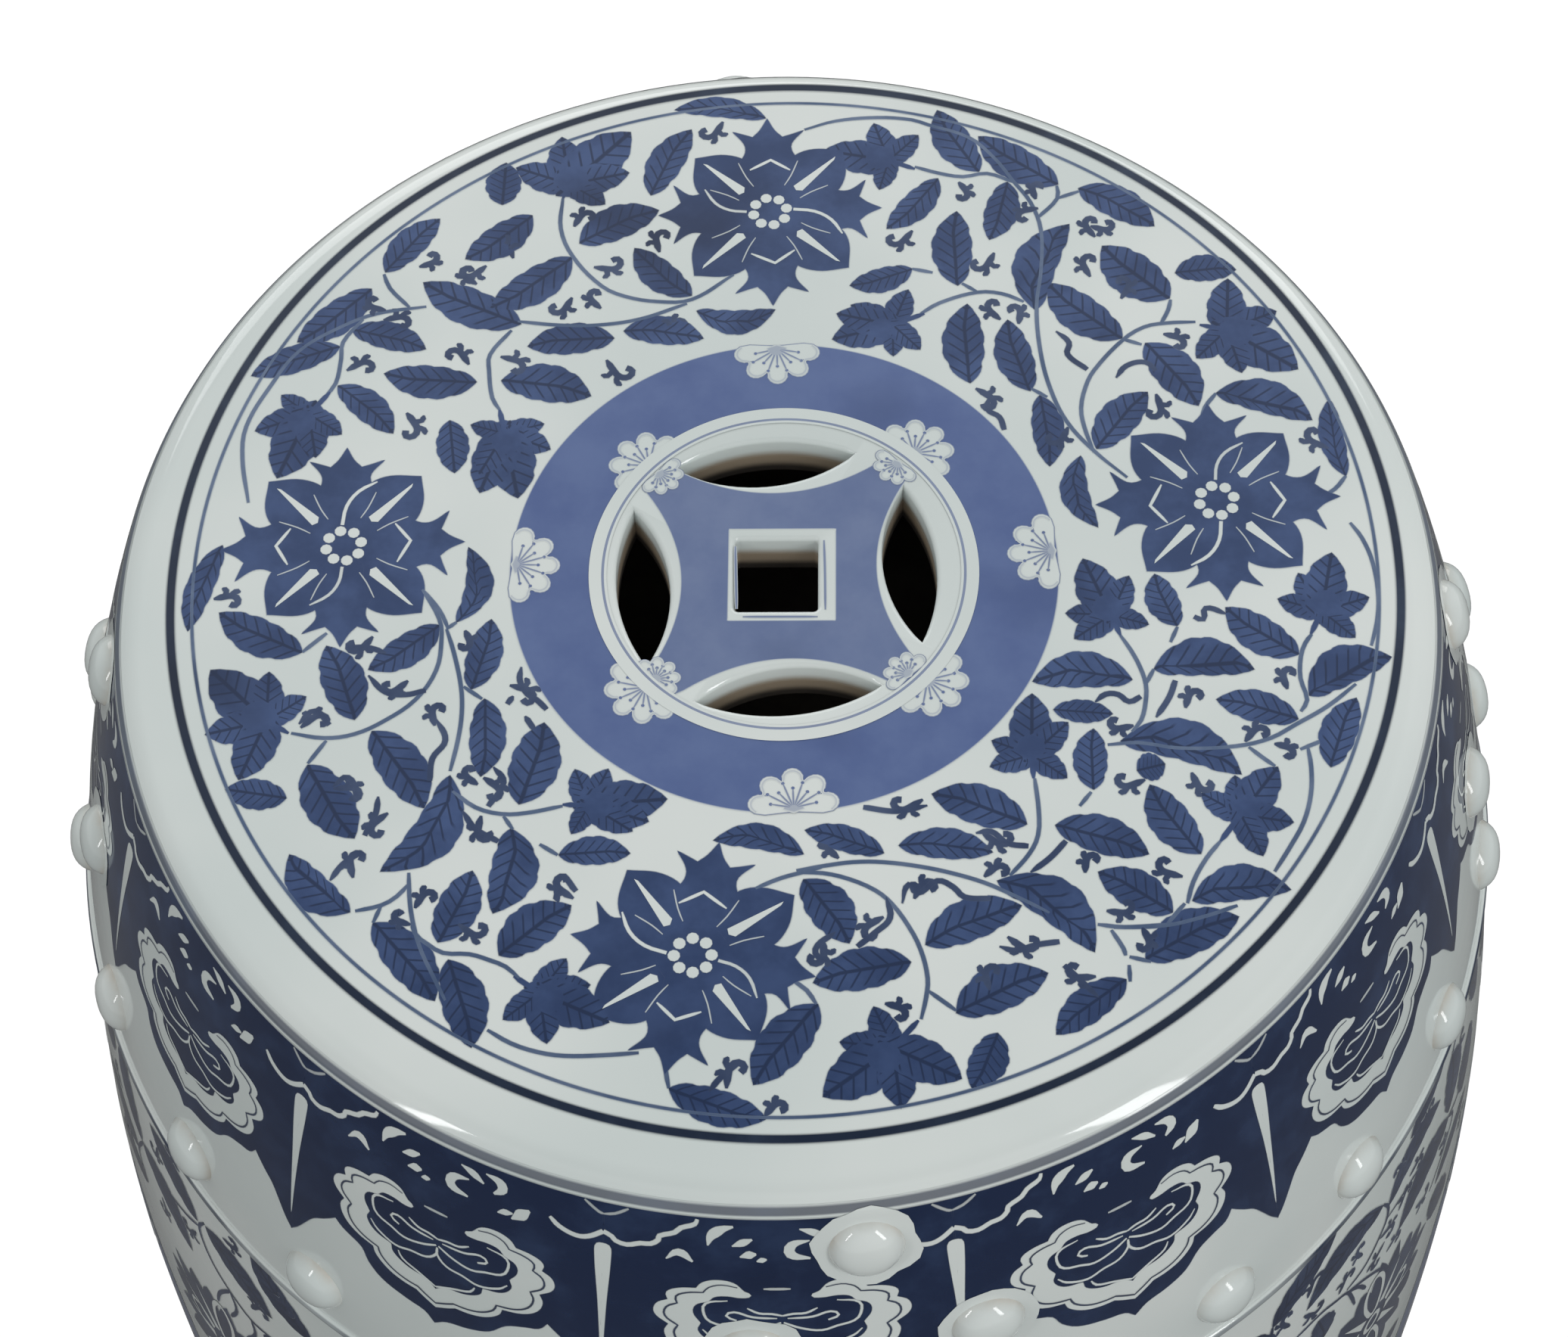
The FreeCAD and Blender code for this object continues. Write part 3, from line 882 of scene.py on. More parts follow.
def leaf(sheet, x0, y0, x1, y1, width, bend=0.0):
    """A leaf from its stalk to its tip. It arches to the left by bend, a share of its length."""
    dx, dy = x1 - x0, y1 - y0
    unit = [(u, v) for u, v in LEAF_SIDE] + [(u, -v * 0.92) for u, v in LEAF_SIDE[-2:0:-1]]
    reach = hypot(dx, dy)
    outline = []
    for u, v in unit:
        off = v * width / reach + bend * 4 * u * (1 - u)
        outline.append((x0 + dx * u - dy * off, y0 + dy * u + dx * off))
    mark(sheet, outline, unit=unit)


LOBE_FULLNESS = 0.60


def palm(sheet, base, heart, tips):
    """A leaf of several pointed lobes that spring from its heart."""
    hx, hy = heart[0] * 0.75 + base[0] * 0.25, heart[1] * 0.75 + base[1] * 0.25
    for x, y in tips:
        width = hypot(x - hx, y - hy) * LOBE_FULLNESS
        leaf(sheet, hx - (x - hx) * 0.22, hy - (y - hy) * 0.22, x, y, width)
    reach = min(hypot(x - heart[0], y - heart[1]) for x, y in tips)
    mark(sheet, disc(*heart, reach * 0.36, 14))
    ribbon(sheet, (base, heart), 1.0)


# a tendril: a hook with a round end and two short barbs, each with its share of the width
CURL_STROKES = (
    (((-0.9, -0.7), (-0.3, -0.15), (0.25, 0.2), (0.75, 0.05), (0.8, -0.4), (0.4, -0.5)), 1.0,
     (0.25, 0.9)),
    (((0.1, 0.1), (0.2, 0.6), (0.55, 0.75)), 0.85, (1.0, 0.2)),
    (((-0.3, -0.1), (-0.45, 0.35), (-0.85, 0.4)), 0.8, (1.0, 0.2)),
)


def curl(sheet, x, y, size, swing, hand, width=1.35):
    def at(u, v):
        u, v = u * size, v * size * hand
        return x + u * cos(swing) - v * sin(swing), y + u * sin(swing) + v * cos(swing)

    for corners, share, ends in CURL_STROKES:
        ribbon(sheet, [at(u, v) for u, v in corners], width * share, ends=ends, spacing=0.9)


def lay(sheet, name, material, place, cells=None):
    """Sets a sheet of brushwork on the stool. cells are the steps at which it may crease to
    follow a curve."""
    sheet.normal_update()
    large = [face for face in sheet.faces if len(face.verts) > 3]
    bmesh.ops.triangulate(sheet, faces=large, ngon_method="EAR_CLIP")
    sheet.normal_update()
    bmesh.ops.reverse_faces(sheet, faces=[face for face in sheet.faces if face.normal.z < 0])
    for axis, step in enumerate(cells or ()):
        reach = [vert.co[axis] for vert in sheet.verts]
        for k in range(ceil(min(reach) / step), ceil(max(reach) / step)):
            spot, way = [0.0, 0.0, 0.0], [0.0, 0.0, 0.0]
            spot[axis], way[axis] = k * step, 1.0
            everything = sheet.verts[:] + sheet.edges[:] + sheet.faces[:]
            bmesh.ops.bisect_plane(sheet, geom=everything, dist=MERGE, plane_co=spot, plane_no=way)
    lift = sheet.verts.layers.float["lift"]
    normals = []
    for vert in sheet.verts:
        spot, normal = place(vert.co.x, vert.co.y)
        vert.co = spot + normal * vert[lift]
        normals.append(normal)
    data = bpy.data.meshes.new(name)
    sheet.verts.layers.float.remove(lift)
    sheet.to_mesh(data)
    sheet.free()
    data.shade_smooth()
    data.normals_split_custom_set_from_vertices(normals)
    piece = bpy.data.objects.new(name, data)
    bpy.context.scene.collection.objects.link(piece)
    data.materials.append(material)
    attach(piece, "root")
    return piece


# Seat painting: leaves
# Scrolling foliage round the seat, brushed in dark cobalt freehand. Every leaf is one loaded stroke
# with its ribs drawn in darker. The print sits a little off the middle of the seat.
PRINT_CENTRE = (1.73, 3.80)


def seat_place(x, y):
    spot = Vector(((x + PRINT_CENTRE[0]) * MM, (y + PRINT_CENTRE[1]) * MM, height))
    return spot, Vector((0.0, 0.0, 1.0))


leaf_blue = painted("cobalt_leaves", (0.026, 0.051, 0.133, 1.0), (0.048, 0.085, 0.200, 1.0),
                    (0.010, 0.021, 0.058, 1.0), leafy=True)
sheet = new_sheet()
# stalk, tip, width and how far it arches
SEAT_LEAVES = (
    # north-west
    (0.2, 115.5, -19.5, 118.8, 5.3, -0.10), (-25.1, 95.9, -16, 113.2, 7.5, 0.05),
    (-57, 95, -56.2, 106.2, 7.4), (-50.6, 91.8, -64.8, 81, 8, 0.05),
    (-40.5, 83.9, -23.5, 91.8, 8.5, 0.06), (-42.2, 80.3, -59.5, 68, 8.5, 0.05),
    (-17, 69, -28.8, 82, 7.2, 0.06), (-16, 65, 0.5, 64.5, 6, -0.20),
    (-31.4, 60.6, -14.8, 57.9, 7, 0.06), (-33.5, 58.9, -51.6, 57.7, 7.6, -0.06),
    (-57.1, 49.3, -38.5, 44.5, 9, 0.06), (-53, 63.5, -73.7, 75.3, 9, 0.04),
    # west
    (-81.8, 78.4, -70.4, 91.9, 7, 0.04), (-84.7, 74.2, -100, 61.2, 8, 0.04),
    (-88.6, 63.8, -73, 58.1, 6.7, 0.05), (-91, 59.6, -109.4, 53.1, 6.7, -0.04),
    (-91.2, 49.7, -79.5, 37.2, 6.7, 0.05), (-62.3, 49.2, -81.6, 52.3, 8, 0.05),
    (-67.8, 39.8, -66.7, 26.8, 6.5), (-113.8, 11.5, -120, -8.5, 5.5, -0.06),
    (-96.8, -14.5, -113.8, -4.5, 8, 0.05), (-86, -30.5, -92, -13.3, 8.5, -0.05),
    (-82.5, -33.3, -72, -51, 9, 0.04), (-95, -40.3, -85.5, -57, 9.5, -0.04),
    (-99, -47.5, -111, -45, 6.5), (-69.5, -9.5, -83.5, -19.2, 7, 0.05),
    (-66, -9, -63.7, 8.6, 5.5, -0.20), (-63, -24.7, -59, -8.7, 6.8, -0.05),
    (-60.3, -27, -61, -44.5, 7, 0.05), (-53.5, -51, -48.5, -33, 9.5, -0.05),
    (-67, -44, -80.3, -64.5, 9, 0.18), (-86, -73, -98, -60, 7.5, 0.12),
    (-81.5, -75.5, -69.5, -92.5, 8.5, 0.05), (-69, -80.2, -62.5, -65.2, 8, -0.05),
    (-67, -84, -62.5, -102.5, 8.5, 0.04),
    # south
    (-55, -56.3, -58.5, -74.5, 9, 0.12), (-45.8, -62.5, -32, -62.8, 6, 0.05),
    (-57.3, -83.5, -43.5, -73.5, 9, 0.05), (1.5, -64.5, -15.8, -60.7, 5.5, -0.14),
    (3, -96.5, -9.7, -112.5, 9, -0.04), (-25.5, -112.5, -7.5, -119.5, 7, -0.05),
    (1.3, -70, 9.5, -84, 8.5, 0.05), (17, -65, 2, -59.3, 5.5, -0.05),
    (20, -63.5, 38, -65.8, 6.5, 0.06), (45, -60, 27, -52.5, 8.5, -0.06),
    (50.5, -60.5, 68, -67.6, 8, 0.05), (58.5, -53, 59.5, -39.5, 6.5, 0.04),
    (24, -85, 42.8, -77.5, 8.5, 0.06), (21, -88.5, 2.3, -92, 8.5, -0.05),
    (29, -99.5, 46.8, -92, 9, 0.05), (36.5, -104, 31, -115, 7, 0.05),
    (61.5, -94, 47.5, -104.8, 7, -0.05), (38.5, -72, 56, -88, 9, 0.16),
    (65.5, -90, 84, -81.8, 9, 0.06), (71.5, -80.3, 58, -71, 8, -0.05),
    (75.5, -78, 94.5, -76.5, 7.5, 0.14),
    # east
    (78, -16.8, 74.5, -4.5, 6.5, 0.05), (72.5, -26.5, 92.3, -27.5, 8.5, 0.14),
    (68, -28.7, 48.3, -28.2, 8, -0.14), (52, -34.8, 63.5, -36.3, 5),
    (64.6, -42.5, 87.5, -51, 9, 0.16), (102.5, -34, 119.7, -26, 8.5, 0.14),
    (101.5, -24.5, 88, -13, 8, 0.05), (99.8, -39.2, 84.2, -34, 7, -0.05),
    (105, -50.2, 111.7, -35, 7, 0.05), (78, -68, 69.5, -52.5, 8, 0.05), (67.3, -49.2, 72.8, -48, 6),
    (66.5, 93, 81.8, 82.2, 8, 0.06), (72.7, 53.5, 58.1, 68.4, 9, 0.05),
    (83.4, 63.2, 70.4, 77.5, 10.5, 0.04), (85.2, 69.7, 98, 69.9, 6.6, 0.06),
    (77.4, 52, 87, 35.8, 9, 0.05), (90.9, 38.7, 110, 31.1, 8, 0.12),
    (65.2, 26.2, 76.8, 39.7, 8, 0.04), (61.8, 24.6, 64, 7.2, 5.6, -0.18),
    (115.4, 17.1, 114.1, 36.1, 5, 0.06),
    # north-east
    (45.5, 98.6, 37.5, 115.7, 8, 0.05), (62.2, 94.3, 46, 108.1, 8.5, 0.04),
    (51.4, 95.5, 46.6, 80.4, 7, 0.04), (36.6, 97.2, 25, 84.4, 6.5, 0.05),
    (39.2, 68.8, 40.1, 88.2, 8.3, 0.05), (29.8, 73.6, 16.5, 69.9, 6, 0.05),
    (55.1, 61.6, 63.8, 83.6, 9, 0.15), (40.3, 43.8, 40.9, 63.9, 8.5, 0.05),
    (52.6, 41.2, 49.1, 59.4, 7.6, 0.05), (54.5, 40, 55.3, 22.4, 6.5, 0.04),
)
for shape in SEAT_LEAVES:
    leaf(sheet, *shape)
# stalk, heart and the tips of the lobes
SEAT_PALMS = (
    ((-44, 96), (-42, 101), ((-54, 104.8), (-44.1, 112.6), (-29.2, 113.2), (-29.7, 102.2),
     (-35, 94))),
    ((-92.8, 48.2), (-98.5, 41), ((-102.9, 47.9), (-108.1, 39.2), (-103.2, 27.3), (-95.4, 32),
     (-90.2, 37.5))),
    ((31.8, 100), (24.5, 103.5), ((12.5, 106), (23.6, 112.8), (33, 109.1), (23.9, 94.9))),
    ((31.8, 61.9), (22.7, 58.5), ((28.7, 68.2), (16.5, 64.9), (13.4, 62.8), (12.2, 56.3),
     (24.7, 51.4), (30.4, 52.8))),
    ((89.1, 56.1), (96.5, 54), ((96.1, 67.6), (105.4, 58.8), (108.4, 43.9), (96.7, 43.6),
     (87.7, 47.7))),
    ((-57.5, 42), (-56, 34), ((-48.3, 38), (-47, 31.6), (-53.7, 20), (-61.5, 21.7), (-61.7, 26.2),
     (-63.4, 38.5))),
    ((66.5, -18.5), (64.5, -12), ((60.4, -0.2), (56, -12.8), (57.3, -18.8), (69.3, -4.7),
     (72.3, -16.2))),
    ((47, -50), (47, -43), ((48, -31), (39.4, -41.2), (38.7, -47), (54.6, -37.8), (53.5, -50.2))),
    ((104.3, -20), (108, -13), ((98.6, -11.5), (103.3, -5.7), (110.5, -1.2), (116.8, -12),
     (113, -21.2))),
    ((82, -65.5), (88, -58), ((79.3, -54.8), (86.2, -51.2), (94.7, -49.7), (96.5, -62),
     (89.9, -69))),
    ((-45, -51.5), (-38, -52), ((-42.5, -43.8), (-36, -44), (-24.6, -51.2), (-28.3, -56),
     (-31.5, -58), (-43.3, -58))),
    ((21.8, -100.7), (15, -108), ((13.5, -97.5), (6.8, -104.5), (3.2, -115.5), (17.6, -118.5),
     (29.2, -113))),
    ((-54.5, -88), (-48, -93), ((-44.5, -84.8), (-40, -90.5), (-36.5, -98.5), (-48.3, -102.3),
     (-56.5, -97))),
    ((-99, -33), (-105, -29), ((-115, -17.8), (-103.3, -18.8), (-95.8, -24.8), (-115.5, -32.5),
     (-108.5, -43))),
)
for base, heart, tips in SEAT_PALMS:
    palm(sheet, base, heart, tips)
lay(sheet, "seat_leaves", leaf_blue, seat_place)

# Seat painting: stems and tendrils
# One long vine winds through the leaves, with side shoots and small hooked tendrils. The stems are
# drawn with a fine brush in thinner colour, and the tendrils in full colour.
stem_blue = painted("cobalt_stems", (0.060, 0.098, 0.180, 1.0), (0.120, 0.165, 0.255, 1.0),
                    (0.024, 0.042, 0.095, 1.0))
sheet = new_sheet(over_last=True)
SEAT_VINES = (
    ((-73, 69), (-83.4, 67.7), (-90.7, 64.8), (-99.5, 59), (-105.3, 50.3), (-110, 40.4),
     (-110.5, 32.5), (-108.9, 21.6)),
    ((-76.6, 69), (-80.8, 74.2), (-82.1, 77.9)),
    ((-86.3, 66.4), (-90.4, 60.7), (-90.7, 56.5), (-91.7, 50.3), (-93.8, 47.1)),
    ((-44, 96), (-44.5, 88), (-42, 80.5), (-36, 72.5), (-31, 69.5), (-24, 67.8), (-17, 68),
     (-8, 74)),
    ((-53.7, 64.2), (-45, 62.8), (-37, 62.4), (-28, 63.5), (-18, 67)),
    ((-55, 62), (-59.5, 56), (-59.7, 52), (-59, 45), (-57.5, 42)),
    ((8.5, 111.9), (15.3, 113.9), (24.4, 114.4), (31.8, 113.4), (35.2, 111.9), (43.8, 108),
     (48.9, 102.3), (52.8, 95.5), (56, 89.8), (57.7, 82.4), (57.0, 72), (55.4, 62.5),
     (55.4, 51.1), (56.8, 41.5), (59.7, 33), (64.9, 25.4), (70.9, 18.9)),
    ((31.8, 100.6), (36.9, 98.6), (42, 97.4), (47.2, 98), (53.1, 95.2)),
    ((61.9, 94), (61.8, 90.6), (57.1, 85.5)), ((66.5, 92.2), (61.8, 90.6)),
    ((31, 61.9), (35.2, 64.5), (43.2, 66.8), (48.3, 66.2), (52.8, 63.9)),
    ((29.8, 73.6), (34.1, 72.4)), ((40.1, 69.3), (43.2, 66.9)), ((52.8, 41.8), (56, 39.5)),
    ((64.6, 25.4), (63.1, 31.7), (62.8, 36.4), (64.1, 41.6), (66.2, 45.7), (72.7, 53),
     (77.4, 56.1), (82.1, 56.9), (88.3, 56.9)),
    ((81, 56.7), (82.9, 60.3), (83.6, 62.9)), ((72.7, 53.3), (76.6, 51.7)),
    ((90.9, 38.7), (88.3, 35.3), (87.3, 32.2)), ((115.4, 17.1), (112.8, 14), (108.6, 11.4)),
    ((115, 5.8), (117, 2), (118.5, -4), (118.7, -12), (117.7, -18), (116, -23.2)),
    ((66.5, -18.5), (68.3, -22), (69.8, -26), (70.6, -30), (70.2, -34), (69, -38), (67, -40.5)),
    ((78, -17), (76.3, -20.5)), ((72.5, -26.5), (70.5, -30)),
    ((62, -43.2), (68, -43), (76, -44.6), (87, -44.7), (94, -43.2), (99, -40.5), (106, -36.5),
     (112, -31.8)),
    ((100.5, -37.5), (102, -35), (101.2, -30), (101.8, -25), (103, -22), (104.5, -20)),
    ((99.5, -46), (106, -43.5)),
    ((101, -45.5), (101.2, -50), (100.5, -56), (98.5, -62), (95.5, -67), (91.8, -72.5)),
    ((89.5, -45), (92, -47.5), (94.2, -49.5)), ((82, -65.5), (79, -69), (76, -74), (74.5, -78.5)),
    ((60, -83), (70, -83), (78, -81.3), (84, -79.4)), ((70, -83), (74, -78.5)),
    ((47.2, -50), (47.5, -57), (47, -62.5), (45, -66.5), (41, -71)), ((58, -53.5), (55.5, -56.5)),
    ((0, -68), (5, -67.3), (11, -66.7), (17, -67), (24, -68.3), (30, -70), (36, -72.3), (41, -75),
     (46, -78), (48, -79.3)),
    ((57, -82.2), (62, -83), (72, -82.8)),
    ((0, -68.5), (5, -68.8), (10, -70.3), (15, -73), (18, -76), (21, -81), (23, -86), (24, -92),
     (23.5, -96), (22.3, -100.5)),
    ((24, -94.7), (29, -99)), ((59.5, -83.5), (61.5, -87.5), (61.8, -89)),
    ((62.3, -91), (62.2, -94.5)), ((62.5, -89.3), (66.5, -90.5)),
    ((-8, -71.5), (-3, -69.5), (3, -68), (6, -67)), ((-2, -91), (1, -93.5), (2.7, -96.5)),
    ((-66.5, -47.5), (-62, -51.3), (-57, -53), (-52, -53), (-45, -51.8)),
    ((-56.5, -53.5), (-54.7, -56.5)), ((-49.5, -60), (-46, -62.5)),
    ((-59.5, -99), (-55, -102), (-50, -104), (-45, -105), (-38, -105.2), (-31, -105)),
    ((-74, -74), (-73.5, -78), (-71, -80.5), (-68, -82.5), (-63, -83), (-59, -84.5), (-56, -86),
     (-53.5, -88.5)),
    ((-74.8, -65), (-74.6, -70), (-74, -75), (-72.5, -81), (-70, -87), (-67.5, -92.5)),
    ((-85, -72.8), (-80, -71.8), (-77, -70), (-74.8, -67.5)), ((-81.5, -75.5), (-80, -71.8)),
    ((-98.5, -33), (-92, -34.4), (-86, -33.8), (-80, -31), (-74, -26.5), (-70, -20), (-69, -13),
     (-69.5, -8), (-73, -1)),
    ((-68, -10.5), (-66.5, -16), (-65, -24), (-64.8, -30), (-65.5, -36), (-67, -43)),
    ((-66, -9), (-68, -10.5)), ((-64.5, -24), (-60.8, -27)), ((-95, -40), (-91.5, -35)),
    ((-96.8, -14.5), (-92, -10.3)), ((-73, -1), (-69.5, -6), (-67.7, -10.3)),
    ((-26, -106), (-26, -109), (-25.5, -112.5)),
)
for vine in SEAT_VINES:
    ribbon(sheet, vine, 0.75, spacing=2.0, ends=(0.6, 0.6))
lay(sheet, "seat_stems", stem_blue, seat_place)

sheet = new_sheet(over_last=True)
CURL_SCALE = 1.05
# place, size, way it points in degrees, hand
SEAT_CURLS = (
    (-11, 112, 3, 200, 1), (-40, 91, 2.6, 20, 1), (-56, 84, 3, 150, -1), (-24, 84, 2.8, 60, 1),
    (-34, 77, 3, 30, -1), (-44, 67, 2.8, 200, 1), (-38, 69, 2.5, 90, 1), (-54, 54, 3, 300, 1),
    (-33, 50, 3.4, 340, -1), (-63, 77, 2.8, 180, 1), (-21, 62, 2.6, 10, 1),
    (-72, 80.5, 2.4, 60, -1), (-64.6, 76.3, 2.5, 100, 1), (-78.7, 66.4, 2.8, 330, 1),
    (-84.2, 69.5, 2.4, 120, 1), (-86.5, 55, 2.8, 350, 1), (-75, 38.8, 3.2, 260, 1),
    (-65.7, 56.5, 2.8, 160, -1), (28, 81, 3, 190, 1), (42.3, 93.5, 2.4, 260, 1),
    (56.8, 93.2, 2.2, 60, 1), (54.5, 87.5, 2.6, 230, -1), (45.5, 73.9, 3, 200, 1),
    (45.7, 62, 2.6, 90, 1), (51.7, 61.1, 2.4, 120, -1), (44, 40, 3, 280, 1), (58, 29, 2.8, 200, 1),
    (67.6, 82.7, 2.6, 80, 1), (71, 82, 2.4, 20, -1), (66.2, 72.8, 2.8, 70, 1),
    (74.8, 66.6, 2.8, 100, -1), (84.2, 53, 2.6, 300, 1), (79, 35.6, 3, 240, 1),
    (109.7, 25.9, 3, 110, 1), (64.6, -39.5, 2.4, 150, 1), (79, -33, 2.4, 30, 1),
    (98, -29.5, 2.4, 60, 1), (97, -45.5, 2.2, 300, 1), (91, -41.5, 2.6, 10, 1),
    (65.5, -52.3, 2.8, 160, 1), (79, -53, 2.6, 330, -1), (71, -71.5, 2.8, 120, 1),
    (66.3, -86, 2.4, 250, 1), (62, -79.8, 2.6, 30, -1), (22, -55.3, 3, 170, 1),
    (39, -63.5, 3, 0, -1), (6.5, -63.5, 2.4, 90, 1), (38.3, -69.3, 2.4, 0, 1),
    (56, -68.5, 2.2, 40, 1), (4.3, -86.2, 2.8, 230, 1), (13.5, -80.5, 2.8, 250, -1),
    (24, -72.5, 2.6, 20, 1), (42.5, -86.2, 3, 0, -1), (18.3, -98, 2.4, 300, 1),
    (35.2, -92, 2.6, 60, 1), (52.5, -93, 2.8, 140, 1), (-14, -109.5, 3, 40, 1),
    (-6, -117, 2.2, 10, 1), (-45.5, -69.8, 2.8, 100, 1), (-62.5, -78.5, 2.8, 0, -1),
    (-112, -0.8, 2.6, 330, 1), (-94, -29.8, 2.8, 0, 1), (-86.5, -46, 2.8, 320, 1),
    (-81.5, -54, 2.8, 260, -1), (-63.5, -44.5, 2.2, 100, 1), (-70.5, -29.8, 2.4, 60, 1),
    (-78, -24, 2.6, 180, 1), (-85, -14, 2.8, 190, 1), (-63.5, -13.5, 2.2, 250, 1),
    (-58, -47, 2.8, 280, 1), (-52, -25.5, 3, 300, 1), (-61.3, -56.5, 2.8, 300, -1),
    (-86, -62.3, 2.8, 60, 1), (-72, -70.3, 2.4, 20, 1), (-76.5, -75.3, 2.0, 120, 1),
)
for x, y, size, angle, hand in SEAT_CURLS:
    curl(sheet, x, y, size * CURL_SCALE, radians(angle), hand)
SEAT_TRAILS = (
    ((59, 56), (61.5, 53), (61, 50), (64.8, 46)), ((44, 40), (43.5, 37), (45.8, 35), (46.6, 31.8)),
    ((70.6, 43.6), (73, 46.5), (77, 47.2), (79, 45)),
    ((60.3, -33.5), (62.5, -31.8), (65, -32), (67, -33.7), (69.4, -32.6)),
    ((72, -37.5), (75, -33), (76.5, -29.3)), ((88, -14.5), (84, -13), (83.3, -15.5), (81.5, -14.8)),
    ((26, -55), (20, -56), (13.5, -54.8)), ((35, -61.5), (38, -61.3), (41, -64), (45, -64.8)),
    ((45, -70.5), (49, -67.5), (52.3, -64)), ((7, -81.5), (3, -85), (4.5, -88)),
    ((17, -74.5), (17.5, -79), (14.5, -82), (11, -84.8)),
    ((20, -76), (21.5, -72), (23, -74), (27, -71.5), (30, -73), (32, -75.2), (37, -75.8)),
    ((38, -86), (41, -87), (45, -86), (49.5, -85.5)), ((56, -97.5), (53, -94), (50, -90.5)),
    ((-18, -113.5), (-16, -111), (-12, -107.5)), ((-46, -73), (-45.5, -67.5), (-42.5, -70.5)),
    ((-97, -31), (-94, -28.2), (-91, -31.5)), ((-90, -45.5), (-87, -43.5), (-85, -48.5)),
    ((-81, -48), (-81.5, -52), (-83.5, -56.5)), ((-70, -31), (-68, -36), (-70.5, -40), (-71, -45)),
    ((-83.5, -20.5), (-80, -24.5), (-76, -25.3), (-72, -24.5)),
    ((-80, -15.5), (-84, -14), (-88, -14)), ((-58.5, -42.5), (-56.5, -46), (-59.5, -51.2)),
    ((-53, -20), (-53.3, -23.1), (-51.8, -26.3), (-49.9, -27.8), (-48, -30)),
    ((-54.6, -26.6), (-55.8, -28.4)), ((-52.3, -31.3), (-50.5, -34.4)),
    ((-64.5, -52), (-62, -56), (-57.5, -59)), ((-90, -66), (-87.5, -62.5), (-84, -60)),
)
for trail in SEAT_TRAILS:
    ribbon(sheet, trail, 1.1, spacing=1.0, ends=(0.2, 0.8))
tendril_blue = painted("cobalt_tendrils", (0.026, 0.046, 0.106, 1.0), (0.055, 0.082, 0.155, 1.0),
                       (0.010, 0.019, 0.050, 1.0))
lay(sheet, "seat_tendrils", tendril_blue, seat_place)

# Seat painting: the four great flowers
# Each is drawn facing outwards: four broad petals on the diagonals and four three-pointed ones
# between them, with the lines between petals left white and a ring of white stamens.
BROAD_PETAL = [
    (0.0, 3.0, 1), (4.6, 7.5), (6.7, 12.6), (5.0, 18.0), (0.0, 22.6, 1), (-5.4, 17.6), (-6.6, 12.4),
    (-4.4, 7.0),
]
CROWN_PETAL = [
    (3.2, 4.0), (4.6, 9.0), (6.3, 13.6), (5.2, 16.6), (5.3, 18.6), (8.0, 22.0, 1), (5.0, 20.9),
    (3.3, 20.4, 1), (1.7, 22.3), (0.2, 25.6, 1), (-1.5, 22.4), (-3.1, 20.6, 1), (-4.6, 21.2),
    (-7.4, 22.3, 1), (-5.0, 18.8), (-4.8, 16.4), (-6.0, 13.2), (-4.4, 9.0), (-3.2, 4.0),
]


BROAD_VEIN = [(-1.0, 8.4), (0.1, 8.0), (1.1, 8.8), (0.35, 19.4), (0.0, 20.2)]
PETAL_SEAM = [(3.3, 7.0), (4.8, 9.6), (6.4, 13.6)]
CHEVRONS = (((4.7, 10.9), (0.6, 13.8, 1), (-4.0, 11.3)), ((4.9, -10.4), (0.6, -13.6, 1), (-4.4, -10.9)))
WHISKERS = (([(5.0, 0.4), (9.5, -0.4), (13.0, -2.8), (15.2, -6.6)], 0.55, 0.0),
            ([(-5.0, 0.2), (-8.6, 0.8), (-11.6, 2.8), (-13.8, 6.6)], 0.45, 0.12))
STAMENS = 8


def flower(blue, x, y, swing):
    def at(points, more_swing=0.0, long=1.0):
        a = swing + more_swing
        return [(x + u * cos(a) - v * long * sin(a), y + u * sin(a) + v * long * cos(a), *more)
                for u, v, *more in points]

    for lean, long in ((-46, 1.0), (46, 0.96), (134, 1.02), (-134, 0.99)):
        mark(blue, through(at(BROAD_PETAL, radians(lean), long), 1.2))
        mark(blue, at(BROAD_VEIN, radians(lean), long), 1, 0.0, 1.0, 0.15)
    for quarter, long in enumerate((0.98, 0.93, 0.96, 0.93)):
        mark(blue, through(at(CROWN_PETAL, quarter * pi / 2, long), 1.0))
        for seam in ([(-u, v) for u, v in PETAL_SEAM], PETAL_SEAM):
            ribbon(blue, at(seam, quarter * pi / 2, long), 0.16, 1, 0.25, 1.0, soft=0.12)
    mark(blue, at(disc(0, 0, 7.0, 20)))
    for chevron in CHEVRONS:
        ribbon(blue, at(chevron), 0.5, 1, 0.0, 1.0, ends=(0.2, 0.2), soft=0.18)
    for whisker, width, ink in WHISKERS:
        ribbon(blue, at(whisker), width, 1, ink, 1.0, ends=(1.0, 0.2), soft=0.18)
    for i in range(STAMENS):
        a = tau * i / STAMENS + 0.2
        mark(blue, at(disc(3.6 * cos(a), 3.6 * sin(a), 1.12, 10)), 1, 0.0, 1.0, 0.18)


sheet = new_sheet(over_last=True)
flower_blue = painted("cobalt_flowers", (0.024, 0.048, 0.126, 1.0), (0.044, 0.078, 0.185, 1.0),
                      (0.011, 0.022, 0.060, 1.0))
SEAT_FLOWERS = ((0.3, 90.2, 0), (-89.1, 10.2, 90), (88.6, 12.4, -90), (-20.4, -85.2, 167))
for x, y, angle in SEAT_FLOWERS:
    flower(sheet, x, y, radians(angle))
lay(sheet, "seat_flowers", flower_blue, seat_place)

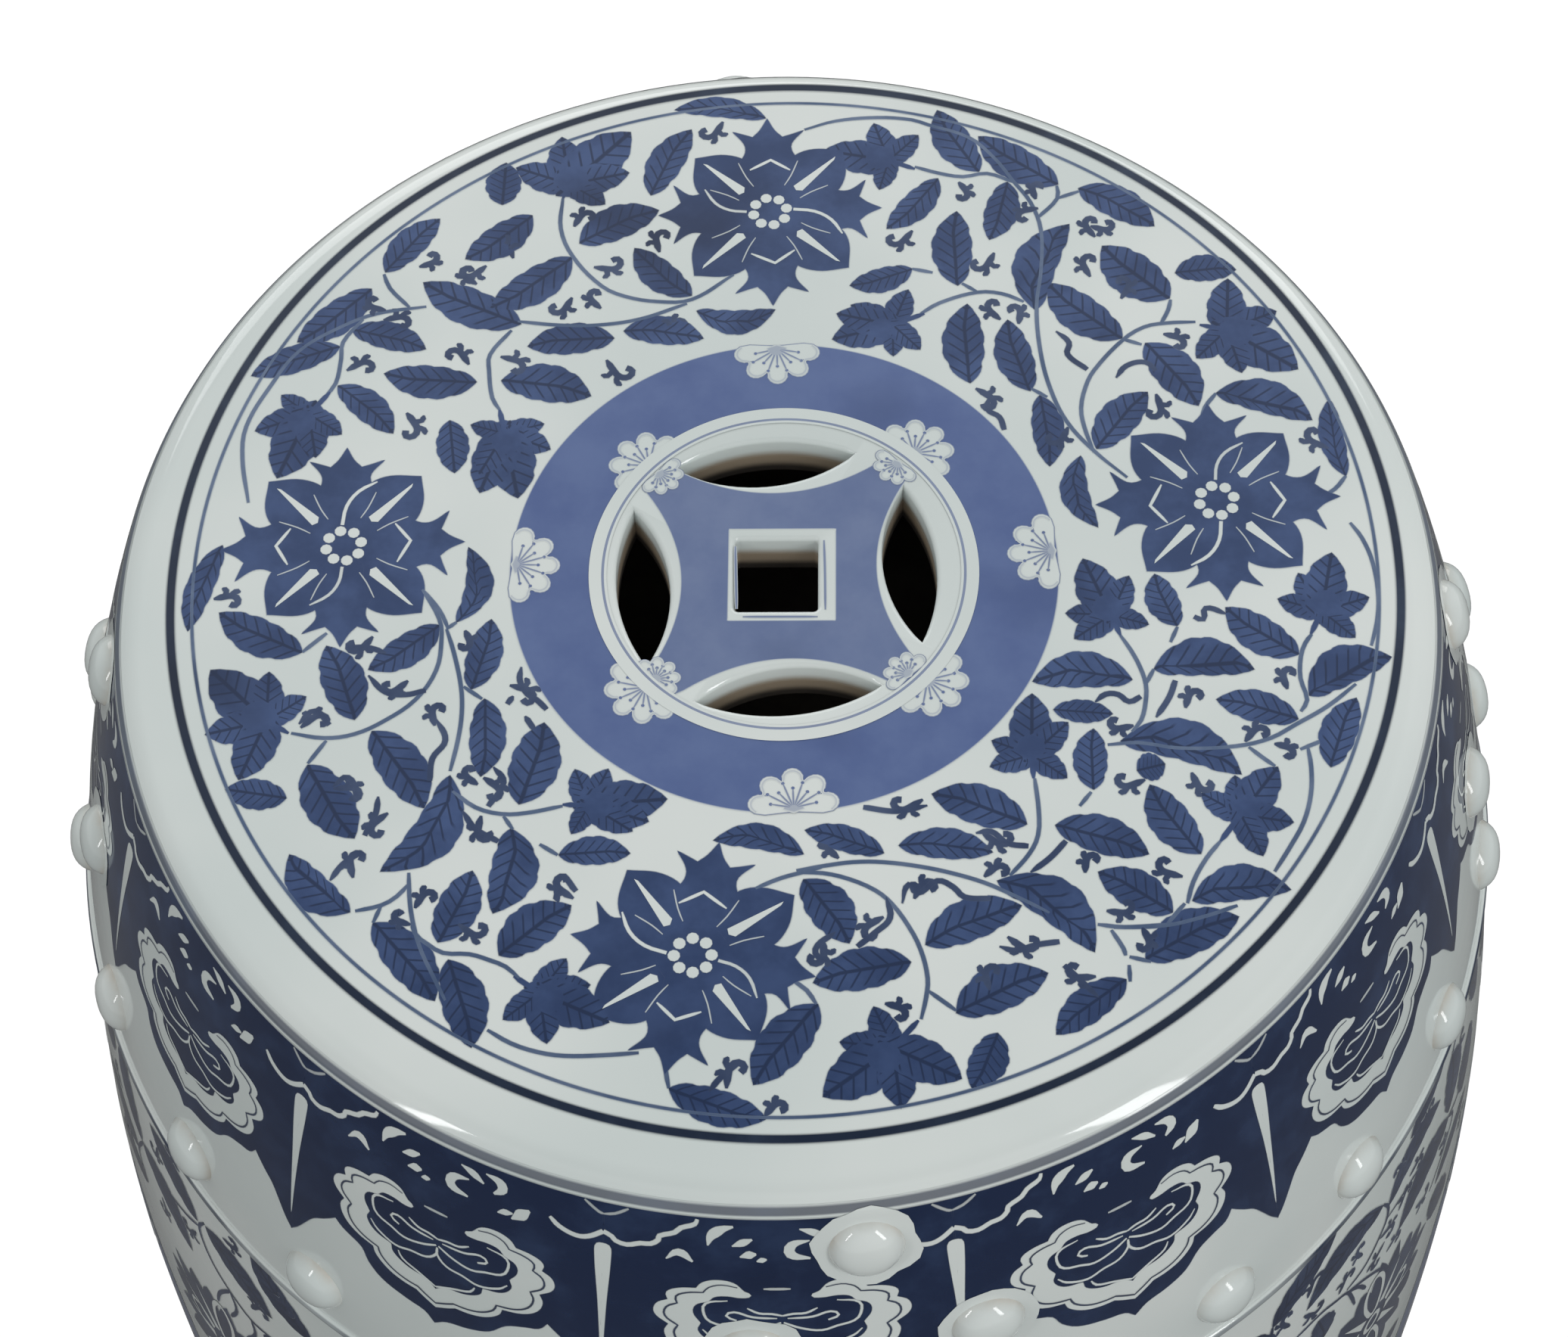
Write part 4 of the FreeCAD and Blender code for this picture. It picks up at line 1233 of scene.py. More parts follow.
# Seat painting: medallion, coin and rim lines
# A wash of thinner cobalt round the pierced coin, with white plum blossom reserved in it and drawn
# in with a fine brush. Two lines are laid round the seat's edge as it turns on the wheel.
wash_blue = painted("cobalt_wash", (0.072, 0.112, 0.262, 1.0), (0.098, 0.145, 0.300, 1.0),
                    (0.044, 0.074, 0.185, 1.0), uneven=(0.25, 0.75))
sheet = new_sheet(over_last=True)
band(sheet, 39.4, 55.2, soft=0.35)
band(sheet, 36.3, 36.8, soft=0.2)


BLOSSOM_SWEEP = 3.44


def half_blossom(sheet, cx, cy, size, facing):
    """A plum blossom half hidden by the edge that it grows from: petals, stamens and anthers."""
    def at(r, a):
        return cx + r * cos(facing + a), cy + r * sin(facing + a)

    def scallop(a, least, more):
        return at(size * (least + more * abs(cos(a * 5 * pi / BLOSSOM_SWEEP)) ** 0.55), a)

    petals = [scallop(-1.72 + BLOSSOM_SWEEP * i / 40, 0.64, 0.36) for i in range(41)]
    mark(sheet, [at(0.04 * size, pi)] + petals, 1, 0.0, 1.0, 0.3)
    edge = [scallop(-1.62 + 3.24 * i / 30, 0.61, 0.34) for i in range(31)]
    ribbon(sheet, edge, 0.12, 2, 0.34, 0.0, soft=0.25, spacing=3.0)
    for i in range(9):
        a = -1.3 + 2.6 * i / 8
        tip = at(size * (0.68 if i % 2 else 0.52), a)
        ribbon(sheet, (at(0.1 * size, a * 0.8), tip), 0.22, 2, 0.8, 0.0, soft=0.16)
        mark(sheet, disc(*tip, 0.30, 7), 2, 0.95, 0.0, 0.16)
    heart = [at(0.20 * size, -1.5 + 3.0 * k / 6) for k in range(7)] + [at(0.05 * size, pi)]
    mark(sheet, heart, 2, 0.5, 0.0, 0.5)


for cx, cy in ((27.6, 26.8), (-26.6, 26.4), (27.4, -26.8), (-28.2, -25.8)):
    half_blossom(sheet, cx, cy, 8.3, atan2(cy, cx))
band(sheet, 36.0, 39.2, 3, 0.0, 0.0, soft=0.2)
band(sheet, 36.35, 36.85, 3, 0.75, 0.0, soft=0.2)
for cx, cy in ((0.5, 54.6), (54.3, 2), (0, -54.6), (-54.2, 4)):
    half_blossom(sheet, cx, cy, 8.9, atan2(-cy, -cx))
lay(sheet, "seat_medallion", wash_blue, seat_place)

coin_blue = painted("cobalt_coin", (0.107, 0.150, 0.285, 1.0), (0.142, 0.188, 0.322, 1.0),
                    (0.070, 0.104, 0.215, 1.0), uneven=(0.25, 0.75))


def coin_field(sheet, centre, reaches, bow, rim, square, border_turn, steps=192, soft=0.3):
    """The coin's painted face: its four sides curve in along the lenses, and a border is left
    round the square hole. reaches are the distances of its right, top, left and bottom sides."""
    inner, outer = [], []
    for i in range(steps):
        a = tau * (i + 0.5) / steps
        side = int(((a + pi / 4) % tau) // (pi / 2))
        off = (a - side * pi / 2 + pi) % tau - pi
        lead, cross = cos(off), sin(off) ** 2
        root = lead * lead - 4 * bow * reaches[side] * cross
        r = rim if root < 0 or cross < 1e-9 else (lead - sqrt(root)) / (2 * bow * cross)
        if cross < 1e-9:
            r = reaches[side]
        r = min(r, rim)
        outer.append((centre[0] + r * cos(a), centre[1] + r * sin(a)))
        b = a - border_turn
        q = square / max(abs(cos(b)), abs(sin(b)))
        inner.append((centre[0] + q * cos(a), centre[1] + q * sin(a)))
    low, high = lifts_of(0, outer)
    rows = [(swollen(inner, -soft), low, 0.0), (inner, high, 1.0), (outer, high, 1.0),
            (swollen(outer, soft), low, 0.0)]
    verts = [[dab(sheet, x, y, lift, value) for x, y in line] for line, lift, value in rows]
    for first, second in zip(verts, verts[1:]):
        for i in range(steps):
            sheet.faces.new((first[i - 1], second[i - 1], second[i], first[i]))


sheet = new_sheet(over_last=True)
FIELD_AT = (-0.4, -0.9)
coin_field(sheet, FIELD_AT, (19.0, 19.4, 20.2, 19.6), 0.0150, 35.4, 11.0, SQUARE_TURN)
for cx, cy in ((23.2, 23.4), (-23.6, 23.4), (22.8, -24.2), (-25.2, -23.0)):
    half_blossom(sheet, cx * 1.05, cy * 1.05, 5.0, atan2(-cy, -cx))
for border in (((-9.6, 6.2), (-9.7, -1), (-9.8, -8.6)), ((8.4, 6.8), (8.3, 0), (8.0, -9.6)),
               ((-8.6, -10.5), (0, -10.9), (6.4, -11.2))):
    ribbon(sheet, border, 0.3, 0, 0.9, 0.0, soft=0.2)
lay(sheet, "seat_coin_field", coin_blue, seat_place)

navy = painted("cobalt_navy_line", (0.010, 0.020, 0.044, 1.0), (0.026, 0.044, 0.080, 1.0),
               (0.005, 0.010, 0.024, 1.0), uneven=(0.45, 0.8))
sheet = new_sheet(over_last=True)
band(sheet, 123.1, 124.5, soft=0.5, steps=360)
lay(sheet, "seat_rim_line", navy, seat_place)
sheet = new_sheet(over_last=True)
band(sheet, 119.2, 119.7, soft=0.3, steps=300)
lay(sheet, "seat_inner_line", stem_blue, seat_place)

# Shoulder painting
# A wide collar of cobalt wash hangs from the rim in thirteen cloud-headed lappets, parted by white
# spikes. Cloud, swag and commas are reserved in white. One lappet is drawn, then turned into place.
SHEET_RADIUS = 160
MM_PER_DEGREE = SHEET_RADIUS * pi / 180
DRUM_CLEARANCE = 0.03 * MM


def drum_place(x, y):
    """x runs round the drum to the right from its front, at the sheet's radius, and y up from
    the top."""
    angle = x / MM_PER_DEGREE * pi / 180 - pi / 2
    z = FULL_HEIGHT + y * MM
    radius, lean = drum_at(z)
    normal = outward(angle, lean)
    return Vector((radius * cos(angle), radius * sin(angle), z)) + normal * DRUM_CLEARANCE, normal


def round_drum(points):
    """Points read as (degrees, depth) to the sheet's own millimetres."""
    return [(a * MM_PER_DEGREE, -depth, *more) for a, depth, *more in points]


def flipped(points):
    """The same points on the other side of the cloud's axis, in the same order."""
    return [(CLOUD_AXIS - a, depth, *more) for a, depth, *more in points]


CELLS = (5.0, 5.5)
LAPPETS = 13
PITCH = 360 / LAPPETS
FIRST_CLOUD = -91.9 + 90.0
CLOUD_AXIS = 0.2
HAND_SHAKE = 0.12
CLOUD_OUTER = [
    (-2.8, 25.3), (-3.6, 22.9), (-4.9, 22.2), (-6.0, 23.2), (-6.5, 25.0, 1), (-7.9, 25.6),
    (-8.8, 27.2), (-8.7, 29.4, 1), (-9.6, 31.2), (-9.7, 34.2), (-8.6, 37.0, 1), (-8.9, 39.6),
    (-8.4, 43.0), (-7.2, 45.2), (-5.6, 46.2, 1), (-5.3, 48.4), (-4.2, 51.0), (-2.9, 52.3),
    (-1.6, 52.7, 1), (-0.9, 54.0), (0.1, 55.6, 1),
]
CLOUD_INNER = [
    (-3.0, 27.1), (-4.1, 26.7), (-5.1, 27.1), (-5.6, 28.6, 1), (-6.6, 30.0), (-6.8, 32.6),
    (-6.2, 35.6, 1), (-6.4, 38.0), (-5.6, 40.8), (-4.0, 42.0, 1), (-3.8, 44.2), (-2.6, 46.4),
    (-1.2, 47.2, 1), (-0.5, 48.0), (0.1, 49.4, 1),
]
FIELD_EDGE = [
    (-14.0, 62.0, 1), (-13.2, 59.3), (-12.4, 55.3), (-11.6, 51.6), (-10.6, 49.0), (-9.4, 45.6, 1),
    (-8.6, 47.2), (-7.6, 48.2), (-6.7, 49.4), (-6.0, 52.9), (-4.7, 56.0), (-2.4, 57.9),
    (-0.8, 58.9), (0.05, 61.5, 1), (1.1, 59.2), (3.0, 57.9), (4.7, 55.8), (6.1, 51.6), (7.7, 49.6),
    (8.8, 48.6), (9.5, 46.0, 1), (10.7, 49.4), (11.6, 51.7), (12.4, 55.3), (13.2, 59.3),
    (13.7, 62.0, 1),
]
CLOUD_WINGS = (
    [(-4.1, 28.2), (-5.8, 29.4), (-5.9, 32.9), (-5.4, 35), (-4.1, 36.2), (-2.9, 37.4),
     (-1.3, 36.5), (0, 34.7)],
    [(-6.0, 37.6), (-5.3, 39.7), (-3.6, 41.5), (-2.2, 40.6), (-0.8, 40), (0.05, 37.6), (0.1, 35.3)],
    [(-2.6, 30.3), (-1.7, 31.8), (-0.7, 32), (0.1, 32.6)],
    [(-3.3, 42.7), (-2.9, 44.7), (-1.4, 46.5), (0.1, 48.5)],
    [(-0.3, 33.4), (-2.2, 33.0), (-3.6, 31.6), (-4.2, 32.8), (-3.4, 34.2)],
)
# commas and crescents above the cloud, each with its width
COMMAS = (
    ([(-5.5, 12.3), (-5.2, 9.5), (-4.4, 7.6), (-3.5, 6.8)], 2.4),
    ([(-3.6, 12.2), (-2.8, 11.2), (-2.0, 10.2)], 1.8),
    ([(-3.0, 15.2), (-2.4, 14.6), (-1.7, 14.3)], 2.0),
    ([(-1.7, 16.4), (-1.3, 16.0), (-0.9, 15.8)], 1.3),
    ([(2.5, 10.6), (1.1, 11.8), (1.0, 14.4), (2.5, 15.6)], 2.2),
    ([(1.7, 7.4), (2.8, 8.4), (3.8, 10)], 1.7),
    ([(3.9, 7.0), (5.1, 7.8), (5.4, 9.6), (4.7, 11.6)], 2.3),
    ([(6.3, 16.8), (7.0, 15.0), (7.8, 12.8)], 2.8), ([(5.1, 16.4), (5.7, 15.6), (6.4, 15.2)], 1.5),
    ([(-8.8, 17.3), (-7.8, 15.0), (-6.7, 17.3)], 1.9),
)
SWAG = [
    (-4.4, 12.5), (-3.6, 14.5), (-2.2, 15.8), (-1.2, 15.2), (0, 12.8), (0.7, 13.7), (1.0, 14.7),
    (1.9, 15.2), (3, 14.1), (3.8, 13.8), (4.4, 12.4), (4.5, 11.2), (5.7, 9.7), (6.2, 8.2),
    (7.3, 6.8), (7.5, 5.4),
]
lappet_blue = painted("cobalt_lappets", (0.008, 0.020, 0.062, 1.0), (0.022, 0.044, 0.108, 1.0),
                      (0.003, 0.008, 0.030, 1.0), uneven=(0.42, 0.74))


def lappet(sheet):
    half = PITCH / 2

    def at(points):
        """Places on the sheet, a little off their places as by hand."""
        late = HAND_SHAKE
        return [(x + late * sin(0.21 * y + late * 9), y + late * cos(0.17 * x), *more)
                for x, y, *more in round_drum(points)]

    field = [(-half - 0.05, 4.9, 1), (-half - 0.05, 30, 1), (-half - 0.05, 61.9, 1)] + FIELD_EDGE[1:-1]
    field += [(half + 0.05, 61.9, 1), (half + 0.05, 30, 1), (half + 0.05, 4.9, 1)]
    mark(sheet, through(round_drum(field), 1.6), 0, soft=0.3)
    under_rim = [(-half - 0.1, 3.2), (0, 3.2), (half + 0.1, 3.2)]
    ribbon(sheet, round_drum(under_rim), 1.2, 0, 0.8, ends=(1, 1), soft=0.45, spacing=4.0)
    # the cloud, reserved in white: two curled arms that meet in a point, and a line along them
    arms = CLOUD_OUTER + flipped(CLOUD_OUTER[-2::-1]) + [(2.4, 26.6)] + flipped(CLOUD_INNER[:-1])
    arms += CLOUD_INNER[::-1] + [(-2.3, 26.4)]
    mark(sheet, through(at(arms), 0.9), 1, 0.0, 1.0, 0.22)
    shrunk = [(a * 0.92, (depth - 38) * 0.92 + 38.0, *more) for a, depth, *more in CLOUD_OUTER[1:-1]]
    line = shrunk + [(0.1, 54.2, 1)] + flipped(shrunk[::-1])
    ribbon(sheet, at(line), 0.36, 2, 0.95, 0.0, soft=0.18, spacing=1.2)
    for wing in CLOUD_WINGS:
        for wing_line in (wing, flipped(wing)):
            ribbon(sheet, at(wing_line), 0.42, 1, 0.0, 1.0, ends=(0.2, 0.6), soft=0.2, spacing=1.3)
    ribbon(sheet, at([(-1.3, 24.4), (0.8, 24.4)]), 0.5, 1, 0.25, 1.0)
    for stroke, width in COMMAS:
        ribbon(sheet, at(stroke), width, 1, 0.0, 1.0, ends=(0.05, 0.15), soft=0.2, spacing=0.9,
               taper=2.2)
    # swag and spike stand on the line between two lappets
    for side in (-1, 1):
        swag = [(side * half + a, depth) for a, depth in SWAG if a * side <= 0.01]
        ends = (0.5, 1.0) if side == 1 else (1.0, 0.5)
        ribbon(sheet, round_drum(swag), 1.0, 1, 0.0, 1.0, ends=ends, soft=0.25, spacing=1.3)
    for side in (-1, 1):
        spike = [(-0.05, 56.0, 1), (side * -0.3, 35.0), (side * -0.66, 18.4), (side * -0.5, 16.6),
                 (-0.05, 16.2, 1)]
        spike = round_drum([(side * half + a, depth, *more) for a, depth, *more in spike])
        mark(sheet, through(spike, 1.5), 1, 0.0, 1.0, 0.18)
    for hook in ([(half - 1.6, 5.1), (half - 0.4, 7.6), (half, 7.9)],
                 [(-half, 7.9), (-half + 0.9, 7.2), (-half + 2.0, 5.2)]):
        ribbon(sheet, round_drum(hook), 0.45, 1, 0.35, 1.0, soft=0.25)


def turned_copies(model, stem, turns):
    """Copies of one piece of painting round the drum, and the same upside down at its foot."""
    to_middle = Matrix.Translation((0, 0, middle))
    over = to_middle @ Matrix.Rotation(pi, 4, "X") @ Matrix.Translation((0, 0, -middle))
    for end in ("upper", "lower"):
        for number, angle in enumerate(turns):
            copy = bpy.data.objects.new(f"{end}_{stem}_{number + 1}", model.data.copy())
            copy.data.name = copy.name
            bpy.context.scene.collection.objects.link(copy)
            spin = Matrix.Rotation(radians(angle), 4, "Z")
            copy.data.transform(over @ spin if end == "lower" else spin)
            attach(copy, "root")
    bpy.data.objects.remove(model)


sheet = new_sheet()
lappet(sheet)
one_lappet = lay(sheet, "lappet", lappet_blue, drum_place, cells=CELLS)
turned_copies(one_lappet, "lappet", [FIRST_CLOUD + PITCH * i for i in range(LAPPETS)])

# Barrel painting
# Below the seam the scroll is larger and looser: great flowers, arching leaves and hooked tendrils in
# the same dark cobalt. Two drawings alternate round the drum, and the foot repeats them upside down.
barrel_blue = painted("cobalt_barrel", (0.018, 0.032, 0.078, 1.0), (0.046, 0.070, 0.140, 1.0),
                      (0.006, 0.012, 0.034, 1.0), leafy=True, uneven=(0.40, 0.72))


def draw(sheet, drawing, hand=1):
    """Leaves, stems and tendrils by degrees round the drum and depth, mirrored where hand is -1."""
    for kind, shapes in drawing.items():
        for shape in shapes:
            if kind == "leaf":
                a0, d0, a1, d1, width, bend = shape
                leaf(sheet, hand * a0 * MM_PER_DEGREE, -d0, hand * a1 * MM_PER_DEGREE, -d1, width,
                     bend * hand)
            elif kind == "vine":
                line = round_drum([(hand * a, depth) for a, depth in shape])
                ribbon(sheet, line, 1.0, spacing=2.2, ends=(0.5, 0.5))
            else:
                a, depth, size, swing, side = shape
                swing = swing if hand > 0 else (180 - swing) % 360
                curl(sheet, hand * a * MM_PER_DEGREE, -depth, size, radians(swing), hand * side, 1.5)


FLOWER_DEPTH = 162
FLOWER_LOBES = 18
FLOWER_LOOP = [
    (0.0, 5.0), (-2.6, 9.0), (-3.7, 15.0), (-2.9, 20.5), (0.0, 23.5), (2.9, 20.5), (3.7, 15.0),
    (2.6, 9.0),
]


def barrel_flower(sheet):
    cy = -FLOWER_DEPTH
    corners = []
    for i in range(FLOWER_LOBES):
        a = tau * i / FLOWER_LOBES + 0.08
        reach = 24.5 + 1.8 * sin(5 * a + 1)
        b = a + tau / FLOWER_LOBES / 2
        notch = 19.5 + 1.2 * sin(7 * a)
        waist = (reach + notch) / 2 * 1.03
        quarter = (b - a) * 0.5
        corners += [
            (reach * cos(a), cy + reach * 1.04 * sin(a), 1),
            (waist * cos(a + quarter), cy + waist * sin(a + quarter)),
            (notch * cos(b), cy + notch * sin(b), 1),
            (waist * cos(b + quarter), cy + waist * sin(b + quarter))]
    mark(sheet, through(corners, 1.8), 0)
    for sign in (1, -1):
        loop = [(u, cy + sign * v) for u, v in FLOWER_LOOP]
        ribbon(sheet, loop, 1.15, 1, 0.0, 1.0, soft=0.22, closed=True)
    for a in (18, 52, 128, 162, 198, 232, 308, 342):
        u, v = cos(radians(a)), sin(radians(a))
        wedge = [(6.0 * u - 1.3 * v, cy + 6.0 * v + 1.3 * u),
                 (6.0 * u + 1.3 * v, cy + 6.0 * v - 1.3 * u),
                 (19.0 * u, cy + 19.0 * v)]
        mark(sheet, wedge, 1, 0.0, 1.0, 0.2)
    for u in (1, -1):
        bracket = [(12 * u, cy + 3.2), (15.5 * u, cy), (12 * u, cy - 3.2)]
        ribbon(sheet, bracket, 0.9, 1, 0.0, 1.0, ends=(0.2, 0.2))
    ribbon(sheet, disc(0, cy, 2.8, 16), 1.1, 1, 0.0, 1.0, soft=0.2, spacing=3.0, closed=True)


# the two drawings that alternate round the drum: leaves as on the seat, but by angle and depth
SCROLL = {
    "leaf": (
        (-13, 105, -5.5, 90, 9, 0.05), (0.8, 105.8, -9.2, 112, 11, -0.22),
        (1.5, 110, 11, 105.4, 10, 0.22), (13.3, 125.4, 3.3, 130.8, 14, -0.20),
        (13.8, 98.3, 13.2, 122.5, 12, 0.08), (19.5, 93.5, 22.0, 108, 9, 0.06),
        (19.5, 113.3, 17.5, 134, 13, -0.06), (-7.8, 123.3, -7, 135, 8, 0.05),
        (10.8, 146.7, 19.2, 142.5, 8, 0.06), (10.0, 151, 14.4, 168, 10.5, -0.06),
        (-12.5, 113, -19.5, 101.5, 9, -0.05), (-13.5, 126, -21.5, 119.5, 10, 0.08),
        (-12, 134, -20, 143.5, 10, 0.10), (-13.5, 150, -21.5, 158, 10, 0.06),
        (-12, 168, -18.5, 180, 10, 0.05), (5.2, 95.5, 12.2, 91.5, 7.5, 0.05),
    ),
    "vine": (
        ((0.8, 105.8), (1.5, 110), (1.3, 115), (0.2, 119), (-1.8, 123.3), (-4.2, 124)),
        ((-10.8, 120.5), (-7.5, 120.8), (-5.5, 123.3), (-4.2, 125.4), (-3.6, 130), (-3, 137)),
        ((-4.2, 125.4), (-2.6, 130), (-1.5, 136)),
        ((-4.2, 125.4), (-1.4, 131), (1.2, 139), (1.8, 145)),
        ((-10.8, 120.5), (-13.2, 116), (-13.2, 110), (-13, 105)),
        ((-13.5, 126), (-12.5, 122), (-10.8, 120.5)),
        ((1.3, 115), (6, 116.5), (10.5, 120.5), (13.3, 125.4), (16.5, 128), (18.5, 124),
         (19.5, 113.3)),
        ((13.8, 98.3), (16.5, 93), (19.5, 93.5)),
        ((9.4, 143), (12.5, 137), (14.5, 131), (13.3, 125.4)),
        ((-12, 134), (-11, 128), (-10.8, 120.5)), ((-13.5, 150), (-12.5, 142), (-12, 134)),
    ),
    "curl": (
        (-11.8, 108, 3.6, 80, 1), (-8.5, 102.5, 3.8, 30, 1), (-8.5, 116.5, 3.6, 350, -1),
        (-4.5, 118, 3.4, 20, 1), (-2.8, 113, 3.2, 80, 1), (1.8, 121.7, 3.8, 300, 1),
        (-0.2, 127.5, 3.8, 250, -1), (2.8, 132, 3.2, 330, 1), (4.2, 117.5, 3.4, 10, 1),
        (6.5, 112.6, 3.6, 320, 1), (8.5, 100, 3.6, 60, 1), (12.2, 133, 3.6, 280, 1),
        (7.8, 138.5, 3.8, 0, -1), (16.5, 105, 3.6, 100, 1), (-16.0, 110, 3.6, 150, 1),
        (-17.5, 131, 3.8, 200, 1), (-14.6, 159, 3.6, 220, -1), (18, 152, 3.6, 40, 1),
        (3.4, 101, 3.2, 120, -1),
    ),
}
GARLAND = {
    "leaf": (
        (11.8, 105, 5.2, 88.8, 10, 0.06), (-1, 103, 7.3, 111.3, 11, 0.05),
        (-2.2, 105.8, -10, 96.3, 10, -0.05), (-12.5, 116.7, -16.5, 91, 10, 0.08),
        (-12.3, 116.7, -3.8, 128, 12, 0.12), (13.6, 118, 20.5, 106, 10, 0.06),
        (13.5, 127, 21.5, 131, 10, 0.06), (6.6, 122.5, 8.2, 136.5, 9, 0.05),
        (-13.8, 127, -21.8, 122, 10, 0.06), (-12.5, 138, -19.5, 143, 9, -0.08),
        (12.5, 146, 20, 152, 9, 0.06), (12, 165, 17.5, 178, 10, -0.05),
        (-19.5, 95, -21.5, 109, 9, 0.05), (15.5, 92.5, 21.5, 96.5, 8, 0.05),
    ),
    "vine": (
        ((-1.2, 102.5), (-2, 107.5), (-1.5, 113.3), (-0.2, 118.3), (1.8, 121.7), (4.5, 124.2),
         (6.8, 122.5)),
        ((1.8, 121.7), (2.5, 128), (1.5, 136)), ((4.5, 124.2), (4.8, 130), (3.5, 138)),
        ((1.8, 121.7), (0.2, 130), (-0.4, 137)),
        ((6.8, 122.5), (10, 119), (11.8, 112), (11.8, 105)), ((10, 119), (13.6, 118)),
        ((13.5, 127), (11.5, 123), (10, 119)),
        ((-12.3, 116.7), (-8, 115.5), (-4.5, 112), (-2, 107.5)),
        ((-12.5, 138), (-13.8, 131), (-13.8, 127), (-12.3, 116.7)),
        ((12.5, 146), (12, 138), (11.5, 130), (10, 119)),
    ),
    "curl": (
        (-9, 105.8, 3.6, 220, 1), (-3.5, 117, 3.6, 200, 1), (5.5, 113.6, 3.6, 20, 1),
        (9, 98, 3.6, 330, 1), (2.8, 96, 3.4, 60, -1), (-6, 93, 3.4, 120, 1),
        (-8.5, 131, 3.6, 250, 1), (9.5, 129.5, 3.4, 300, -1), (16.6, 122.5, 3.4, 20, 1),
        (17, 139.5, 3.6, 340, 1), (-17, 133, 3.8, 200, -1), (-18.6, 115, 3.4, 130, 1),
        (16.5, 101.5, 3.4, 60, 1), (14.5, 158.5, 3.6, 320, 1),
    ),
}
# a winding stem between two flowers
COLUMN = {
    "vine": (((0.6, 231), (2.4, 220), (1.2, 206), (-1.8, 194), (-2.2, 180), (0.4, 166), (1.8, 152),
              (0.0, 138), (-1.6, 126)),),
    "leaf": (
        (1.6, 208, -4.0, 216, 9, 0.06), (2.2, 214, 6.4, 226, 9, 0.05),
        (-1.8, 192, 3.8, 184, 9, -0.06), (-2.4, 182, -6.0, 194, 9, -0.05),
        (0.2, 167, 4.4, 176, 8.5, 0.06), (0.6, 160, -4.4, 152, 9, -0.06),
        (1.8, 150, 4.2, 137, 8.5, 0.05), (-0.4, 136, -4.4, 144, 8.5, 0.05),
        (-1.6, 126, 1.0, 114, 8.5, 0.05),
    ),
    "curl": (
        (4.6, 203, 3.6, 20, 1), (-3.8, 205, 3.2, 160, -1), (2.6, 194.5, 3.0, 300, 1),
        (-4.6, 171, 3.6, 150, 1), (4.6, 162, 3.4, 30, -1), (-2.6, 131, 3.2, 120, 1),
    ),
}
# what joins the upper drawing to its upside-down twin at the belly: beside a flower, and below it
SIDE_SPRIG = {
    "vine": (((9.5, 196), (13, 205), (15, 216), (14, 226), (10, 231)),),
    "leaf": (
        (11.5, 203, 5.0, 211, 10, 0.06), (14.6, 212, 21.5, 203, 10, -0.05),
        (15, 218, 22.5, 225, 10, 0.05), (12, 229, 4.5, 224, 9, -0.05),
        (12.5, 190, 20.0, 186, 9, 0.05),
    ),
    "curl": ((8.5, 219, 4, 200, 1), (18.5, 214, 4, 20, -1)),
}
MIDDLE_SPRIG = {
    "vine": (((0, 194), (1.2, 205), (-0.8, 215), (0.5, 225), (0, 235)),),
    "leaf": (
        (0.9, 203, 6.2, 197, 9, 0.06), (1.0, 207, -5.2, 203, 9, -0.06), (-0.6, 216, 5.4, 211, 9, 0.06),
        (-0.5, 219, -6.0, 215, 9, -0.06), (0.5, 226, 5.4, 230, 8.5, 0.05),
    ),
    "curl": ((-2.8, 228, 3.8, 200, 1),),
}
# sprays that fill the wall over each pierced coin
SPRAY = {
    "vine": (((0, 140), (3, 130), (7, 122), (8.5, 112), (6, 103)),),
    "leaf": (
        (1.5, 137, 9, 139, 9, -0.06), (5.5, 125, 12.5, 129, 9, 0.06), (8.2, 118, 1.5, 122, 9, 0.05),
        (8.4, 110, 14.5, 104, 9, 0.05), (7.2, 106, 1.2, 111, 8, -0.05), (6, 103, 9.5, 92, 8, 0.05),
    ),
    "curl": ((11, 118, 3.8, 30, 1), (4.4, 98, 3.8, 60, 1), (5.4, 132, 3.2, 330, -1)),
}


def painted_copies(stem, turns, sheet):
    model = lay(sheet, stem, barrel_blue, drum_place, cells=CELLS)
    turned_copies(model, stem, turns)


